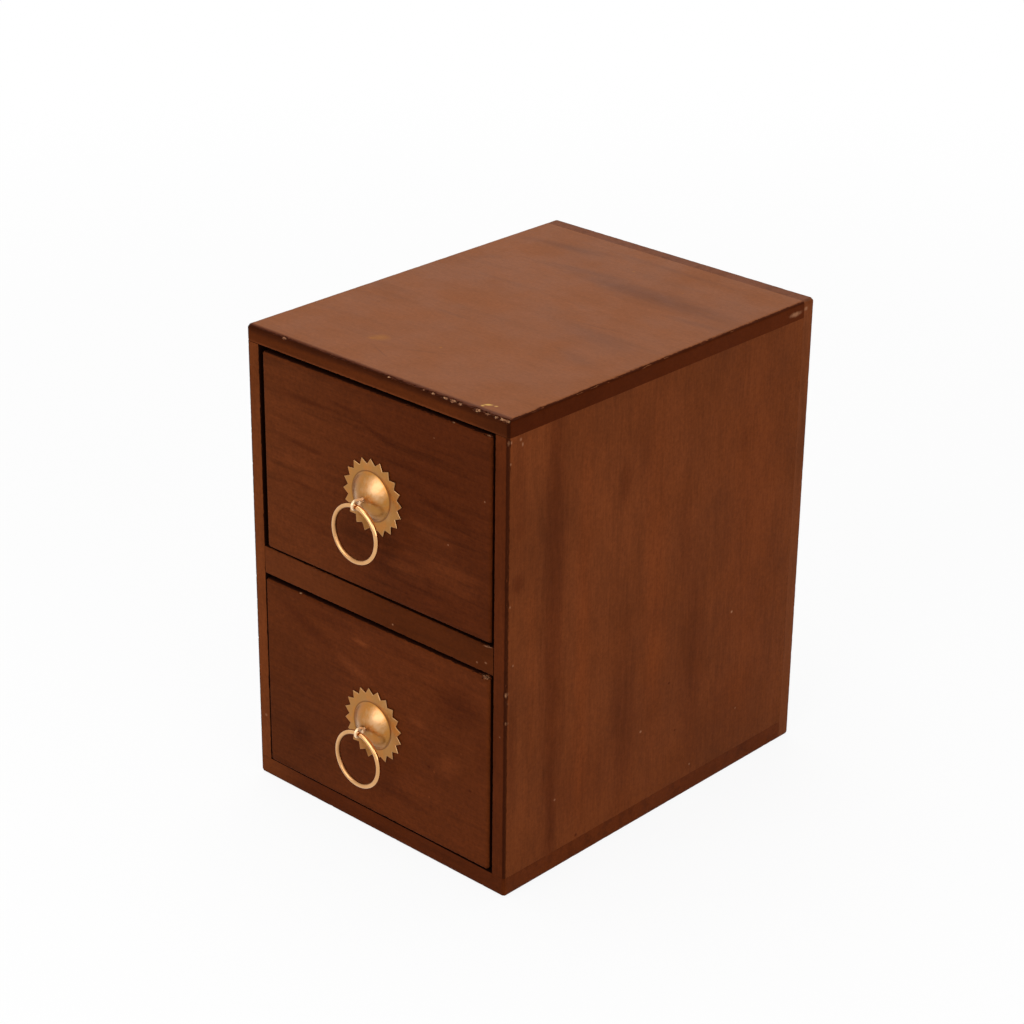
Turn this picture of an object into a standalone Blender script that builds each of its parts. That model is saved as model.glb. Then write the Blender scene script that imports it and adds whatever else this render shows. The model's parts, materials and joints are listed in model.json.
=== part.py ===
"""A miniature chest of two drawers in dark stained wood, with brass ring pulls.

All lengths are in metres. The origin is the centre of the underside, +X is to the right of
someone who faces the drawers, -Y is the front and +Z is up.
"""

import math
from collections import namedtuple

import bmesh
import bpy
from mathutils import Matrix, Vector

# Carcass boards: the top and bottom cover the ends of the sides, the back covers all four
CARCASS_WIDTH = 0.1395
CARCASS_DEPTH = 0.1791
TOP_THICKNESS = 0.0070
BOTTOM_THICKNESS = 0.0084
SIDE_THICKNESS = 0.0067
BACK_THICKNESS = 0.0068
OPENING_HEIGHT = 0.0863

# The rail between the drawers, and the runners behind it that carry the upper drawer
RAIL_HEIGHT = 0.0120
RAIL_DEPTH = 0.0220
RUNNER_WIDTH = 0.0090

# Outer arrises are sanded round after assembly, inner ones are only eased
OUTER_ARRIS = 0.0015
INNER_ARRIS = 0.0005
ARRIS_STEPS = 3
ROUND_PROFILE = 0.5

# Clearances between pieces
GLUE_GAP = 0.0003
SEAT_GAP = 0.0003
RUNNING_GAP = 0.0003
STOP_GAP = 0.0003
DRAWER_SIDE_CLEARANCE = 0.00105
FRONT_TOP_CLEARANCE = 0.0016
FRONT_FOOT_CLEARANCE = 0.0005

# Drawer boxes: sides in rebates of the front, a loose floor in grooves, the back on the floor
FRONT_THICKNESS = 0.0090
FRONT_LIP = 0.0040
FRONT_ARRIS = 0.0012
DRAWER_SIDE_THICKNESS = 0.0050
DRAWER_SIDE_DROP = 0.0020
DRAWER_BACK_THICKNESS = 0.0050
DRAWER_FLOOR_THICKNESS = 0.0030
DRAWER_FLOOR_RISE = 0.0040
GROOVE_DEPTH = 0.0025

# Panel pins that hold the back on the sides, and the drawer sides on fronts and backs
PIN_RADIUS = 0.0006
PIN_HEAD_RADIUS = 0.0011
PIN_HEAD_THICKNESS = 0.0004
PIN_POINT = 0.0012
PIN_SET = 0.0002
PIN_STEPS = 10
BACK_PIN_LENGTH = 0.0140
DRAWER_PIN_LENGTH = 0.0110
BACK_PIN_HEIGHT_SHARES = (0.1, 0.5, 0.9)
DRAWER_PIN_HEIGHT_SHARES = (0.25, 0.8)

# Rosette: a pressed brass sheet with a saw-toothed flange round a dome
TEETH = 20
TOOTH_LENGTH = 0.00245
FLANGE_WIDTH = 0.0031
DOME_RADIUS = 0.0103
DOME_RISE = 0.0042
SHEET_THICKNESS = 0.0004
DOME_RING_SHARES = (0.0, 0.2, 0.42, 0.64, 0.84, 1.0)

# Split pin: half-round wire, flat side inwards, with its two legs bent open inside the front
WIRE_WIDTH = 0.00115
WIRE_THICKNESS = 0.0008
LEG_GAP = 0.0003
LEG_LENGTH = 0.0080
LEG_BEND = 0.0010
NECK_BEND = 0.0015
BEND_STEPS = 4
EYE_STEPS = 16
WIRE_STEPS = 5

# Ring: round wire that hangs in the eye of the split pin
RING_WIRE_RADIUS = 0.0010
RING_RADIUS = 0.01155
RING_PLAY = 0.0007
RING_STEPS = 40
RING_WIRE_STEPS = 10

# Where the upper drawer and its pull sit. The teeth are cut a little off the dome's centre
UPPER_SHIFT = 0.0004
UPPER_PULL_ACROSS = -0.00115
UPPER_PULL_DOWN = 0.0008
UPPER_TEETH_ACROSS = 0.0007
UPPER_TEETH_UP = -0.0002
UPPER_TOOTH_TURN_DEG = 2.3
UPPER_NECK = 0.00175
UPPER_EYE_DROOP = 0.0010
UPPER_RING_SLIP_DEG = 2.2

# Where the lower drawer and its pull sit
LOWER_SHIFT = 0
LOWER_PULL_ACROSS = -0.00165
LOWER_PULL_DOWN = 0.00235
LOWER_TEETH_ACROSS = 0.0003
LOWER_TEETH_UP = 0.0004
LOWER_TOOTH_TURN_DEG = 8
LOWER_NECK = 0.00105
LOWER_EYE_DROOP = 0.0002
LOWER_RING_SLIP_DEG = 3.2

# Overrun of a cutter past the face that it opens, and the least distance between two points
OVERRUN = 0.0020
MERGE_DISTANCE = 0.000001
SHARP_ANGLE_DEG = 35

# Sizes that follow from those above
OPENING_WIDTH = CARCASS_WIDTH - 2 * SIDE_THICKNESS
OUTER_X = CARCASS_WIDTH / 2
INNER_X = OPENING_WIDTH / 2
FRONT_Y = -CARCASS_DEPTH / 2
REAR_Y = CARCASS_DEPTH / 2
BACK_PANEL_Y = REAR_Y - BACK_THICKNESS
LOWER_FLOOR_Z = BOTTOM_THICKNESS
RAIL_Z = LOWER_FLOOR_Z + OPENING_HEIGHT
UPPER_FLOOR_Z = RAIL_Z + RAIL_HEIGHT
UNDER_TOP_Z = UPPER_FLOOR_Z + OPENING_HEIGHT
CARCASS_HEIGHT = UNDER_TOP_Z + TOP_THICKNESS

DRAWER_LENGTH = CARCASS_DEPTH - BACK_THICKNESS - STOP_GAP
DRAWER_HALF_WIDTH = INNER_X - DRAWER_SIDE_CLEARANCE
DRAWER_INNER_X = DRAWER_HALF_WIDTH - DRAWER_SIDE_THICKNESS
FRONT_HEIGHT = OPENING_HEIGHT - FRONT_TOP_CLEARANCE - FRONT_FOOT_CLEARANCE
FRONT_TOP_Z = FRONT_FOOT_CLEARANCE + FRONT_HEIGHT
DRAWER_SIDE_TOP_Z = FRONT_TOP_Z - DRAWER_SIDE_DROP
DRAWER_FLOOR_Z = RUNNING_GAP + DRAWER_FLOOR_RISE
DRAWER_FLOOR_TOP_Z = DRAWER_FLOOR_Z + DRAWER_FLOOR_THICKNESS

LEG_HEIGHT = (LEG_GAP + WIRE_THICKNESS) / 2
PIN_BORE_RADIUS = math.hypot(WIRE_WIDTH / 2, LEG_HEIGHT + WIRE_THICKNESS / 2) + SEAT_GAP
ROSETTE_TOP = SEAT_GAP + SHEET_THICKNESS + DOME_RISE
EYE_INNER_RADIUS = RING_WIRE_RADIUS + RING_PLAY
EYE_LINE_RADIUS = EYE_INNER_RADIUS + WIRE_THICKNESS / 2
BORE_STEPS = 24

# Linear colours
Finish = namedtuple("Finish", "colour roughness metallic")
STAINED_WOOD = Finish((0.115, 0.028, 0.010), 0.45, 0)
STAINED_TOP = Finish((0.200, 0.070, 0.030), 0.42, 0)
BARE_WOOD = Finish((0.420, 0.250, 0.130), 0.70, 0)
BRASS = Finish((0.560, 0.320, 0.100), 0.28, 1)
STEEL = Finish((0.350, 0.340, 0.330), 0.40, 1)

Pull = namedtuple("Pull", "across down teeth_across teeth_up tooth_turn neck droop slip")
Drawer = namedtuple("Drawer", "name shift floor pull")
DRAWERS = (
    Drawer(
        "upper",
        UPPER_SHIFT,
        UPPER_FLOOR_Z,
        Pull(
            UPPER_PULL_ACROSS,
            UPPER_PULL_DOWN,
            UPPER_TEETH_ACROSS,
            UPPER_TEETH_UP,
            math.radians(UPPER_TOOTH_TURN_DEG),
            UPPER_NECK,
            UPPER_EYE_DROOP,
            math.radians(UPPER_RING_SLIP_DEG),
        ),
    ),
    Drawer(
        "lower",
        LOWER_SHIFT,
        LOWER_FLOOR_Z,
        Pull(
            LOWER_PULL_ACROSS,
            LOWER_PULL_DOWN,
            LOWER_TEETH_ACROSS,
            LOWER_TEETH_UP,
            math.radians(LOWER_TOOTH_TURN_DEG),
            LOWER_NECK,
            LOWER_EYE_DROOP,
            math.radians(LOWER_RING_SLIP_DEG),
        ),
    ),
)

# The side of a box that each word names
FACES = {
    "left": Vector((-1, 0, 0)),
    "right": Vector((1, 0, 0)),
    "front": Vector((0, -1, 0)),
    "back": Vector((0, 1, 0)),
    "bottom": Vector((0, 0, -1)),
    "top": Vector((0, 0, 1)),
}


def clear_scene():
    for thing in list(bpy.data.objects):
        bpy.data.objects.remove(thing, do_unlink=True)


def empty(name, location, parent=None):
    """A frame that pieces hang on, with no shape of its own."""
    frame = bpy.data.objects.new(name, None)
    frame.location = location
    frame.parent = parent
    bpy.context.scene.collection.objects.link(frame)
    return frame


def material(name, finish):
    made = bpy.data.materials.new(name)
    made.use_nodes = True
    shader = made.node_tree.nodes["Principled BSDF"]
    shader.inputs["Base Color"].default_value = (*finish.colour, 1)
    shader.inputs["Roughness"].default_value = finish.roughness
    shader.inputs["Metallic"].default_value = finish.metallic
    return made


def mesh_from(name, bm, smooth=False):
    mesh = bpy.data.meshes.new(name)
    bm.to_mesh(mesh)
    bm.free()
    if smooth:
        mesh.shade_smooth()
        mesh.set_sharp_from_angle(angle=math.radians(SHARP_ANGLE_DEG))
    return mesh


def place(name, mesh, location, parent):
    piece = bpy.data.objects.new(name, mesh)
    piece.location = location
    piece.parent = parent
    bpy.context.scene.collection.objects.link(piece)
    return piece


def box_between(corner, opposite):
    """A box about the origin that spans two opposite corners, and the middle between them."""
    corner, opposite = Vector(corner), Vector(opposite)
    bm = bmesh.new()
    bmesh.ops.create_cube(bm, size=1)
    bmesh.ops.scale(bm, vec=[abs(length) for length in opposite - corner], verts=bm.verts)
    return bm, (corner + opposite) / 2


def arris_of(bm, words):
    """The edge of a box about the origin where the two faces in words meet."""
    directions = [FACES[word] for word in words.split()]
    for edge in bm.edges:
        if all(vert.co.dot(direction) > 0 for vert in edge.verts for direction in directions):
            return edge
    raise ValueError(f"a box has no arris named {words}")


def ease(bm, radius, arrises):
    """Rounds the named arrises of a box to one radius."""
    bmesh.ops.bevel(
        bm,
        geom=[arris_of(bm, words) for words in arrises],
        offset=radius,
        segments=ARRIS_STEPS,
        profile=ROUND_PROFILE,
        affect="EDGES",
    )


def board(name, corner, opposite, finish, parent, *easings):
    """A board between two corners. Each easing is a radius and the arrises that it rounds."""
    bm, middle = box_between(corner, opposite)
    for radius, arrises in easings:
        ease(bm, radius, arrises)
    mesh = mesh_from(name, bm)
    mesh.materials.append(material(name, finish))
    return place(name, mesh, middle, parent)


def cutter(name, bm, location, parent):
    tool = place(name, mesh_from(name, bm), location, parent)
    tool.hide_render = True
    tool.display_type = "WIRE"
    return tool


def cut(tool, *targets):
    for target in targets:
        modifier = target.modifiers.new(tool.name, "BOOLEAN")
        modifier.operation = "DIFFERENCE"
        modifier.solver = "EXACT"
        modifier.object = tool


def box_cutter(name, corner_pairs, parent):
    """One cutter that holds a box for each pair of opposite corners."""
    boxes = []
    for corner, opposite in corner_pairs:
        bm, middle = box_between(corner, opposite)
        boxes.append((bm, Matrix.Translation(middle)))
    return cutter(name, joined(boxes), (0, 0, 0), parent)


def joined(shapes):
    """One mesh of separate shapes, each moved by its matrix."""
    whole = bmesh.new()
    for shape, matrix in shapes:
        mesh = mesh_from("shape", shape)
        mesh.transform(matrix)
        whole.from_mesh(mesh)
        bpy.data.meshes.remove(mesh)
    return whole


def turned(profile, steps):
    """A solid turned about Z from (radius, height) points that start and end on the axis."""
    bm = bmesh.new()
    verts = [bm.verts.new((radius, 0, height)) for radius, height in profile]
    edges = [bm.edges.new(pair) for pair in zip(verts, verts[1:])]
    bmesh.ops.spin(
        bm,
        geom=verts + edges,
        cent=(0, 0, 0),
        axis=(0, 0, 1),
        angle=math.tau,
        steps=steps,
        use_merge=True,
    )
    bmesh.ops.remove_doubles(bm, verts=bm.verts, dist=MERGE_DISTANCE)
    bmesh.ops.recalc_face_normals(bm, faces=bm.faces)
    return bm


def swept(frames, section, closed):
    """A solid whose section is carried along frames of (origin, across, outward)."""
    bm = bmesh.new()
    loops = []
    for origin, across, outward in frames:
        loops.append([bm.verts.new(origin + a * across + b * outward) for a, b in section])
    following = loops[1:] + loops[:1] if closed else loops[1:]
    for loop, after in zip(loops, following):
        for i in range(len(section)):
            bm.faces.new((loop[i - 1], loop[i], after[i], after[i - 1]))
    if not closed:
        bm.faces.new(loops[0])
        bm.faces.new(loops[-1])
    bmesh.ops.recalc_face_normals(bm, faces=bm.faces)
    return bm


def point_on_circle(centre, radius, angle):
    return centre + radius * Vector((math.cos(angle), math.sin(angle)))


def pin_profile(length, grow, head_top):
    """A panel pin's outline, point down, grown on every side by the same amount."""
    return [
        (0, head_top),
        (PIN_HEAD_RADIUS + grow, head_top),
        (PIN_HEAD_RADIUS + grow, -PIN_HEAD_THICKNESS - grow),
        (PIN_RADIUS + grow, -PIN_HEAD_THICKNESS - grow),
        (PIN_RADIUS + grow, PIN_POINT - length),
        (0, -length - grow),
    ]


def panel_pins(name, length, seats, boards, parent):
    """Drives a pin at each seat of (point, direction), and drills the boards for all of them."""
    pin_mesh = mesh_from(name, turned(pin_profile(length, 0, 0), PIN_STEPS), smooth=True)
    pin_mesh.materials.append(material(name, STEEL))
    holes = []
    for number, (point, direction) in enumerate(seats, 1):
        turn = Vector(direction).to_track_quat("-Z", "Y")
        seat = Vector(point) + PIN_SET * Vector(direction)
        pin = place(f"{name}_{number}", pin_mesh, seat, parent)
        pin.rotation_mode = "QUATERNION"
        pin.rotation_quaternion = turn
        hole = turned(pin_profile(length, GLUE_GAP, OVERRUN), PIN_STEPS)
        holes.append((hole, Matrix.Translation(seat) @ turn.to_matrix().to_4x4()))
    cut(cutter(f"{name}_holes", joined(holes), (0, 0, 0), parent), *boards)


def build_carcass():
    carcass = empty("carcass", (0, 0, 0))
    joint_y = BACK_PANEL_Y - GLUE_GAP
    side_low_z = BOTTOM_THICKNESS + GLUE_GAP
    side_high_z = UNDER_TOP_Z - GLUE_GAP

    board(
        "top_board",
        (-OUTER_X, FRONT_Y, UNDER_TOP_Z),
        (OUTER_X, joint_y, CARCASS_HEIGHT),
        STAINED_TOP,
        carcass,
        (OUTER_ARRIS, ("front top", "left top", "right top", "front left", "front right")),
    )
    board(
        "bottom_board",
        (-OUTER_X, FRONT_Y, 0),
        (OUTER_X, joint_y, BOTTOM_THICKNESS),
        STAINED_WOOD,
        carcass,
        (OUTER_ARRIS, ("front bottom", "left bottom", "right bottom", "front left", "front right")),
    )
    left = board(
        "left_side",
        (-OUTER_X, FRONT_Y, side_low_z),
        (-INNER_X, joint_y, side_high_z),
        STAINED_WOOD,
        carcass,
        (OUTER_ARRIS, ("front left",)),
        (INNER_ARRIS, ("front right",)),
    )
    right = board(
        "right_side",
        (INNER_X, FRONT_Y, side_low_z),
        (OUTER_X, joint_y, side_high_z),
        STAINED_WOOD,
        carcass,
        (OUTER_ARRIS, ("front right",)),
        (INNER_ARRIS, ("front left",)),
    )
    back = board(
        "back_panel",
        (-OUTER_X, BACK_PANEL_Y, 0),
        (OUTER_X, REAR_Y, CARCASS_HEIGHT),
        STAINED_WOOD,
        carcass,
        (
            OUTER_ARRIS,
            (
                "back top",
                "back bottom",
                "back left",
                "back right",
                "left top",
                "left bottom",
                "right top",
                "right bottom",
            ),
        ),
    )
    board(
        "divider_rail",
        (GLUE_GAP - INNER_X, FRONT_Y, RAIL_Z),
        (INNER_X - GLUE_GAP, FRONT_Y + RAIL_DEPTH, UPPER_FLOOR_Z),
        STAINED_WOOD,
        carcass,
        (INNER_ARRIS, ("front top", "front bottom")),
    )
    for name, side in (("left_runner", -1), ("right_runner", 1)):
        board(
            name,
            (side * (INNER_X - GLUE_GAP), FRONT_Y + RAIL_DEPTH + GLUE_GAP, RAIL_Z),
            (side * (INNER_X - RUNNER_WIDTH), joint_y, UPPER_FLOOR_Z),
            BARE_WOOD,
            carcass,
        )

    side_middle = (INNER_X + OUTER_X) / 2
    seats = [
        ((side * side_middle, REAR_Y, share * CARCASS_HEIGHT), (0, -1, 0))
        for side in (-1, 1)
        for share in BACK_PIN_HEIGHT_SHARES
    ]
    panel_pins("back_pin", BACK_PIN_LENGTH, seats, (back, left, right), carcass)


def build_drawer(drawer):
    """A drawer about its own frame: the middle of its front, level with what it runs on."""
    name = f"{drawer.name}_drawer"
    slide = empty(name, (drawer.shift, FRONT_Y, drawer.floor))
    side_inner_y = FRONT_LIP + GLUE_GAP

    front = board(
        f"{name}_front",
        (-DRAWER_HALF_WIDTH, 0, FRONT_FOOT_CLEARANCE),
        (DRAWER_HALF_WIDTH, FRONT_THICKNESS, FRONT_TOP_Z),
        STAINED_WOOD,
        slide,
        (
            FRONT_ARRIS,
            (
                "front top",
                "front bottom",
                "front left",
                "front right",
                "left top",
                "left bottom",
                "right top",
                "right bottom",
            ),
        ),
    )
    left = board(
        f"{name}_left_side",
        (-DRAWER_HALF_WIDTH, side_inner_y, RUNNING_GAP),
        (-DRAWER_INNER_X, DRAWER_LENGTH, DRAWER_SIDE_TOP_Z),
        BARE_WOOD,
        slide,
        (INNER_ARRIS, ("left top", "right top")),
    )
    right = board(
        f"{name}_right_side",
        (DRAWER_INNER_X, side_inner_y, RUNNING_GAP),
        (DRAWER_HALF_WIDTH, DRAWER_LENGTH, DRAWER_SIDE_TOP_Z),
        BARE_WOOD,
        slide,
        (INNER_ARRIS, ("left top", "right top")),
    )
    back = board(
        f"{name}_back",
        (GLUE_GAP - DRAWER_INNER_X, DRAWER_LENGTH - DRAWER_BACK_THICKNESS, DRAWER_FLOOR_TOP_Z + SEAT_GAP),
        (DRAWER_INNER_X - GLUE_GAP, DRAWER_LENGTH, DRAWER_SIDE_TOP_Z),
        BARE_WOOD,
        slide,
        (INNER_ARRIS, ("front top", "back top")),
    )
    groove_x = DRAWER_INNER_X + GROOVE_DEPTH
    groove_y = FRONT_THICKNESS - GROOVE_DEPTH
    board(
        f"{name}_floor",
        (GLUE_GAP - groove_x, groove_y + GLUE_GAP, DRAWER_FLOOR_Z),
        (groove_x - GLUE_GAP, DRAWER_LENGTH, DRAWER_FLOOR_TOP_Z),
        BARE_WOOD,
        slide,
    )

    rebates = box_cutter(
        f"{name}_rebates",
        [
            (
                (side * (DRAWER_INNER_X - GLUE_GAP), FRONT_LIP, -OVERRUN),
                (side * (DRAWER_HALF_WIDTH + OVERRUN), FRONT_THICKNESS + OVERRUN, FRONT_TOP_Z + OVERRUN),
            )
            for side in (-1, 1)
        ],
        slide,
    )
    cut(rebates, front)
    grooves = box_cutter(
        f"{name}_grooves",
        [
            (
                (-groove_x, groove_y, DRAWER_FLOOR_Z - GLUE_GAP),
                (groove_x, DRAWER_LENGTH + OVERRUN, DRAWER_FLOOR_TOP_Z + GLUE_GAP),
            )
        ],
        slide,
    )
    cut(grooves, front, left, right)

    tongue_y = (FRONT_LIP + FRONT_THICKNESS) / 2
    back_y = DRAWER_LENGTH - DRAWER_BACK_THICKNESS / 2
    seats = [
        ((side * DRAWER_HALF_WIDTH, y, share * DRAWER_SIDE_TOP_Z), (-side, 0, 0))
        for side in (-1, 1)
        for y in (tongue_y, back_y)
        for share in DRAWER_PIN_HEIGHT_SHARES
    ]
    panel_pins(f"{name}_pin", DRAWER_PIN_LENGTH, seats, (front, left, right, back), slide)

    pull_z = FRONT_FOOT_CLEARANCE + FRONT_HEIGHT / 2 - drawer.pull.down
    mouth = Vector((drawer.pull.across, 0, pull_z))
    bore = bmesh.new()
    bmesh.ops.create_cone(
        bore,
        cap_ends=True,
        segments=BORE_STEPS,
        radius1=PIN_BORE_RADIUS,
        radius2=PIN_BORE_RADIUS,
        depth=FRONT_THICKNESS + 2 * OVERRUN,
        matrix=Matrix.Rotation(math.radians(90), 4, "X"),
    )
    middle = mouth + Vector((0, FRONT_THICKNESS / 2, 0))
    cut(cutter(f"{drawer.name}_bore", bore, middle, slide), front)
    build_pull(drawer.name, drawer.pull, mouth, slide)


def build_pull(name, pull, mouth, slide):
    """A rosette, split pin and ring about the mouth of the bore in the drawer's front."""
    rosette_mesh = mesh_from(f"{name}_rosette", rosette(pull), smooth=True)
    rosette_mesh.materials.append(material(f"{name}_rosette", BRASS))
    place(f"{name}_rosette", rosette_mesh, mouth - Vector((0, SEAT_GAP, 0)), slide)

    pin_mesh = mesh_from(f"{name}_split_pin", split_pin(pull), smooth=True)
    pin_mesh.materials.append(material(f"{name}_split_pin", BRASS))
    place(f"{name}_split_pin", pin_mesh, mouth, slide)

    eye = eye_centre(pull)
    drop = RING_PLAY - SEAT_GAP
    pivot = empty(f"{name}_ring_pivot", mouth + Vector((0, -eye.x, eye.y - drop)), slide)
    ring_mesh = mesh_from(f"{name}_ring", ring(pull.slip), smooth=True)
    ring_mesh.materials.append(material(f"{name}_ring", BRASS))
    place(f"{name}_ring", ring_mesh, (0, 0, 0), pivot)


def dome_height(radius):
    """How far the back of the sheet stands off its flange, on a spherical cap."""
    sphere = (DOME_RADIUS**2 + DOME_RISE**2) / (2 * DOME_RISE)
    return math.sqrt(sphere**2 - radius**2) - (sphere - DOME_RISE)


def rosette(pull):
    """The pressed sheet about the centre of its back, from the pin's hole out to the teeth."""
    rings = []
    for share in DOME_RING_SHARES:
        radius = PIN_BORE_RADIUS + share * (DOME_RADIUS - PIN_BORE_RADIUS)
        rings.append(((0, 0), (radius, radius), dome_height(radius)))
    valley = DOME_RADIUS + FLANGE_WIDTH
    rings.append(((pull.teeth_across, pull.teeth_up), (valley + TOOTH_LENGTH, valley), 0))

    bm = bmesh.new()
    surfaces = []
    for lift in (0, SHEET_THICKNESS):
        loops = []
        for (across, up), radii, height in rings:
            loop = []
            for i in range(2 * TEETH):
                angle = pull.tooth_turn + i * math.pi / TEETH
                radius = radii[i % 2]
                x = across + radius * math.cos(angle)
                z = up + radius * math.sin(angle)
                loop.append(bm.verts.new((x, -height - lift, z)))
            loops.append(loop)
        surfaces.append(loops)
    back, front = surfaces
    for inner, outer in [*zip(back, back[1:]), *zip(front, front[1:]), (back[0], front[0]), (back[-1], front[-1])]:
        for i in range(2 * TEETH):
            bm.faces.new((inner[i - 1], inner[i], outer[i], outer[i - 1]))
    bmesh.ops.recalc_face_normals(bm, faces=bm.faces)
    return bm


def eye_centre(pull):
    """The middle of the eye, as its distance out from the drawer's face and its height."""
    return Vector((ROSETTE_TOP + pull.neck + EYE_LINE_RADIUS, -pull.droop))


def tangent_point(start, centre, radius, side):
    """Where a line from start touches the circle, on its upper (1) or lower (-1) side."""
    to_centre = centre - start
    distance = to_centre.length
    angle = math.atan2(to_centre.y, to_centre.x) + side * math.asin(radius / distance)
    length = math.sqrt(distance**2 - radius**2)
    return start + length * Vector((math.cos(angle), math.sin(angle)))


def rounded(before, corner, after, radius):
    """The corner of a line as an arc of this radius."""
    back = (before - corner).normalized()
    ahead = (after - corner).normalized()
    half = back.angle(ahead) / 2
    start = corner + back * radius / math.tan(half)
    centre = corner + (back + ahead).normalized() * radius / math.sin(half)
    arm = start - centre
    turn = (math.pi - 2 * half) * math.copysign(1, back.cross(ahead))
    points = []
    for i in range(BEND_STEPS + 1):
        angle = -turn * i / BEND_STEPS
        rotated = Matrix.Rotation(angle, 2) @ arm
        points.append(centre + rotated)
    return points


def split_pin_line(pull):
    """The middle of the wire from leg to leg, as points out from the drawer's face and up."""
    eye = eye_centre(pull)
    inside = -(FRONT_THICKNESS + SEAT_GAP + WIRE_THICKNESS / 2)
    halves = []
    for side in (1, -1):
        tip = Vector((inside, side * (LEG_HEIGHT + LEG_LENGTH)))
        heel = Vector((inside, side * LEG_HEIGHT))
        neck = Vector((ROSETTE_TOP, side * LEG_HEIGHT))
        touch = tangent_point(neck, eye, EYE_LINE_RADIUS, side)
        bend = rounded(tip, heel, neck, LEG_BEND)
        flare = rounded(heel, neck, touch, NECK_BEND)
        halves.append(([tip, *bend, *flare], touch - eye))
    (upper, upper_touch), (lower, lower_touch) = halves
    start = math.atan2(upper_touch.y, upper_touch.x)
    end = math.atan2(lower_touch.y, lower_touch.x)
    loop = [
        point_on_circle(eye, EYE_LINE_RADIUS, start + (end - start) * i / EYE_STEPS)
        for i in range(EYE_STEPS + 1)
    ]
    return upper + loop + lower[::-1]


def split_pin(pull):
    """The half-round wire swept along its line, with the flat side towards the eye."""
    line = split_pin_line(pull)
    frames = []
    for i, point in enumerate(line):
        before = line[max(i - 1, 0)]
        after = line[min(i + 1, len(line) - 1)]
        along = (after - before).normalized()
        outward = Vector((0, -1, 0)) * -along.y + Vector((0, 0, 1)) * along.x
        frames.append((Vector((0, -point.x, point.y)), Vector((1, 0, 0)), outward))
    section = []
    for i in range(WIRE_STEPS + 1):
        angle = math.pi * i / WIRE_STEPS
        section.append((WIRE_WIDTH / 2 * math.cos(angle), WIRE_THICKNESS * (math.sin(angle) - 1 / 2)))
    return swept(frames, section, closed=False)


def ring(slip):
    """The ring about its pivot, the middle of the wire in the eye, slipped round by an angle."""
    centre = Vector((-RING_RADIUS * math.sin(slip), 0, -RING_RADIUS * math.cos(slip)))
    frames = []
    for i in range(RING_STEPS):
        angle = math.tau * i / RING_STEPS
        outward = Vector((math.cos(angle), 0, math.sin(angle)))
        frames.append((centre + RING_RADIUS * outward, Vector((0, 1, 0)), outward))
    section = []
    for i in range(RING_WIRE_STEPS):
        angle = math.tau * i / RING_WIRE_STEPS
        section.append((RING_WIRE_RADIUS * math.cos(angle), RING_WIRE_RADIUS * math.sin(angle)))
    return swept(frames, section, closed=True)


clear_scene()
build_carcass()
for each in DRAWERS:
    build_drawer(each)
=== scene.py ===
"""The look of a miniature chest of two drawers: worn stained boards and brass ring pulls.

Lengths are in metres, or in millimetres where a name ends in _mm, in the CAD's frame: +X is
to the right of someone who faces the drawers, -Y is the front and +Z is up.
"""

import json
import math
from collections import namedtuple
from itertools import product

import bmesh
import bpy
import numpy as np
from mathutils import Matrix, Vector, noise


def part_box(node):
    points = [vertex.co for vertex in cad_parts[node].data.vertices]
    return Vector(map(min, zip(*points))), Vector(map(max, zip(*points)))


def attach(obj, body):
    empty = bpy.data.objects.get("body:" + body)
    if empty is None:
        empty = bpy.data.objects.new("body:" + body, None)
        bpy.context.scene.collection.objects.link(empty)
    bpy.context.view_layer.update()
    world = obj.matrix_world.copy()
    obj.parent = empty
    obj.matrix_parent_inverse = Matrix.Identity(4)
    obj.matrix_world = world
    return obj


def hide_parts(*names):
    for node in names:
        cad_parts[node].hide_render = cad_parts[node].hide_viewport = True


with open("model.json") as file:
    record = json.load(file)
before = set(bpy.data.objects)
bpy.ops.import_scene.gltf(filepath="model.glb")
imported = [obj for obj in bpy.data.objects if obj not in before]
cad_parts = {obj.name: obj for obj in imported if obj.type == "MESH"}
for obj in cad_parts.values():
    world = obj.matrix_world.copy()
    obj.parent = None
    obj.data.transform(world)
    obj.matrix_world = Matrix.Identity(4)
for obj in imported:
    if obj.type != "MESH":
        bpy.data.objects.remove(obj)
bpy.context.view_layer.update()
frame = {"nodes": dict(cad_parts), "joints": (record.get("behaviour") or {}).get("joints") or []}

# Camera at the photograph's angle
CAMERA_AZIMUTH_DEG = 42.776
CAMERA_ELEVATION_DEG = 24.825
CAMERA_ROLL_DEG = 0.663
CAMERA_DISTANCE = 1.08204
CAMERA_TARGET = Vector((-0.01116, 0, 0.10874))
CAMERA_LENS_MM = 92.59
CAMERA_SENSOR_MM = 36
CLIP_START = 0.01
CLIP_END = 50

# Studio: the floor lies a hair under the chest, so that no two faces share a plane
FLOOR_DROP = 0.0002
FLOOR_SIZE = 12
FLOOR_WHITENESS = 0.86
FLOOR_ROUGHNESS = 0.9
FLOOR_GLOW = 0.9
FLOOR_FADE_START = 0.30
FLOOR_FADE_END = 1.1
AMBIENT_STRENGTH = 0.42
LAMP_AIM = Vector((0, 0, 0.1))
Lamp = namedtuple("Lamp", "name place size watts")
LAMPS = (
    Lamp("front_window", (0.13, -1.05, 0.66), 1.0, 6.5),
    Lamp("overhead", (-0.25, 0.10, 1.10), 0.90, 5.6),
    Lamp("right_fill", (1.10, -0.25, 0.55), 0.80, 4.4),
)

# Boards
CLOSED_JOINT = 0.00026
OUTER_ARRIS = 0.0015
INNER_ARRIS = 0.0005
FRONT_ARRIS = 0.0012
ARRIS_SHARES = (0, 0.25, 0.5, 0.75, 1, 1.4, 1.9)
FINE_STEP = 0.0006
MIDDLE_STEP = 0.0016
COARSE_STEP = 0.003

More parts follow.
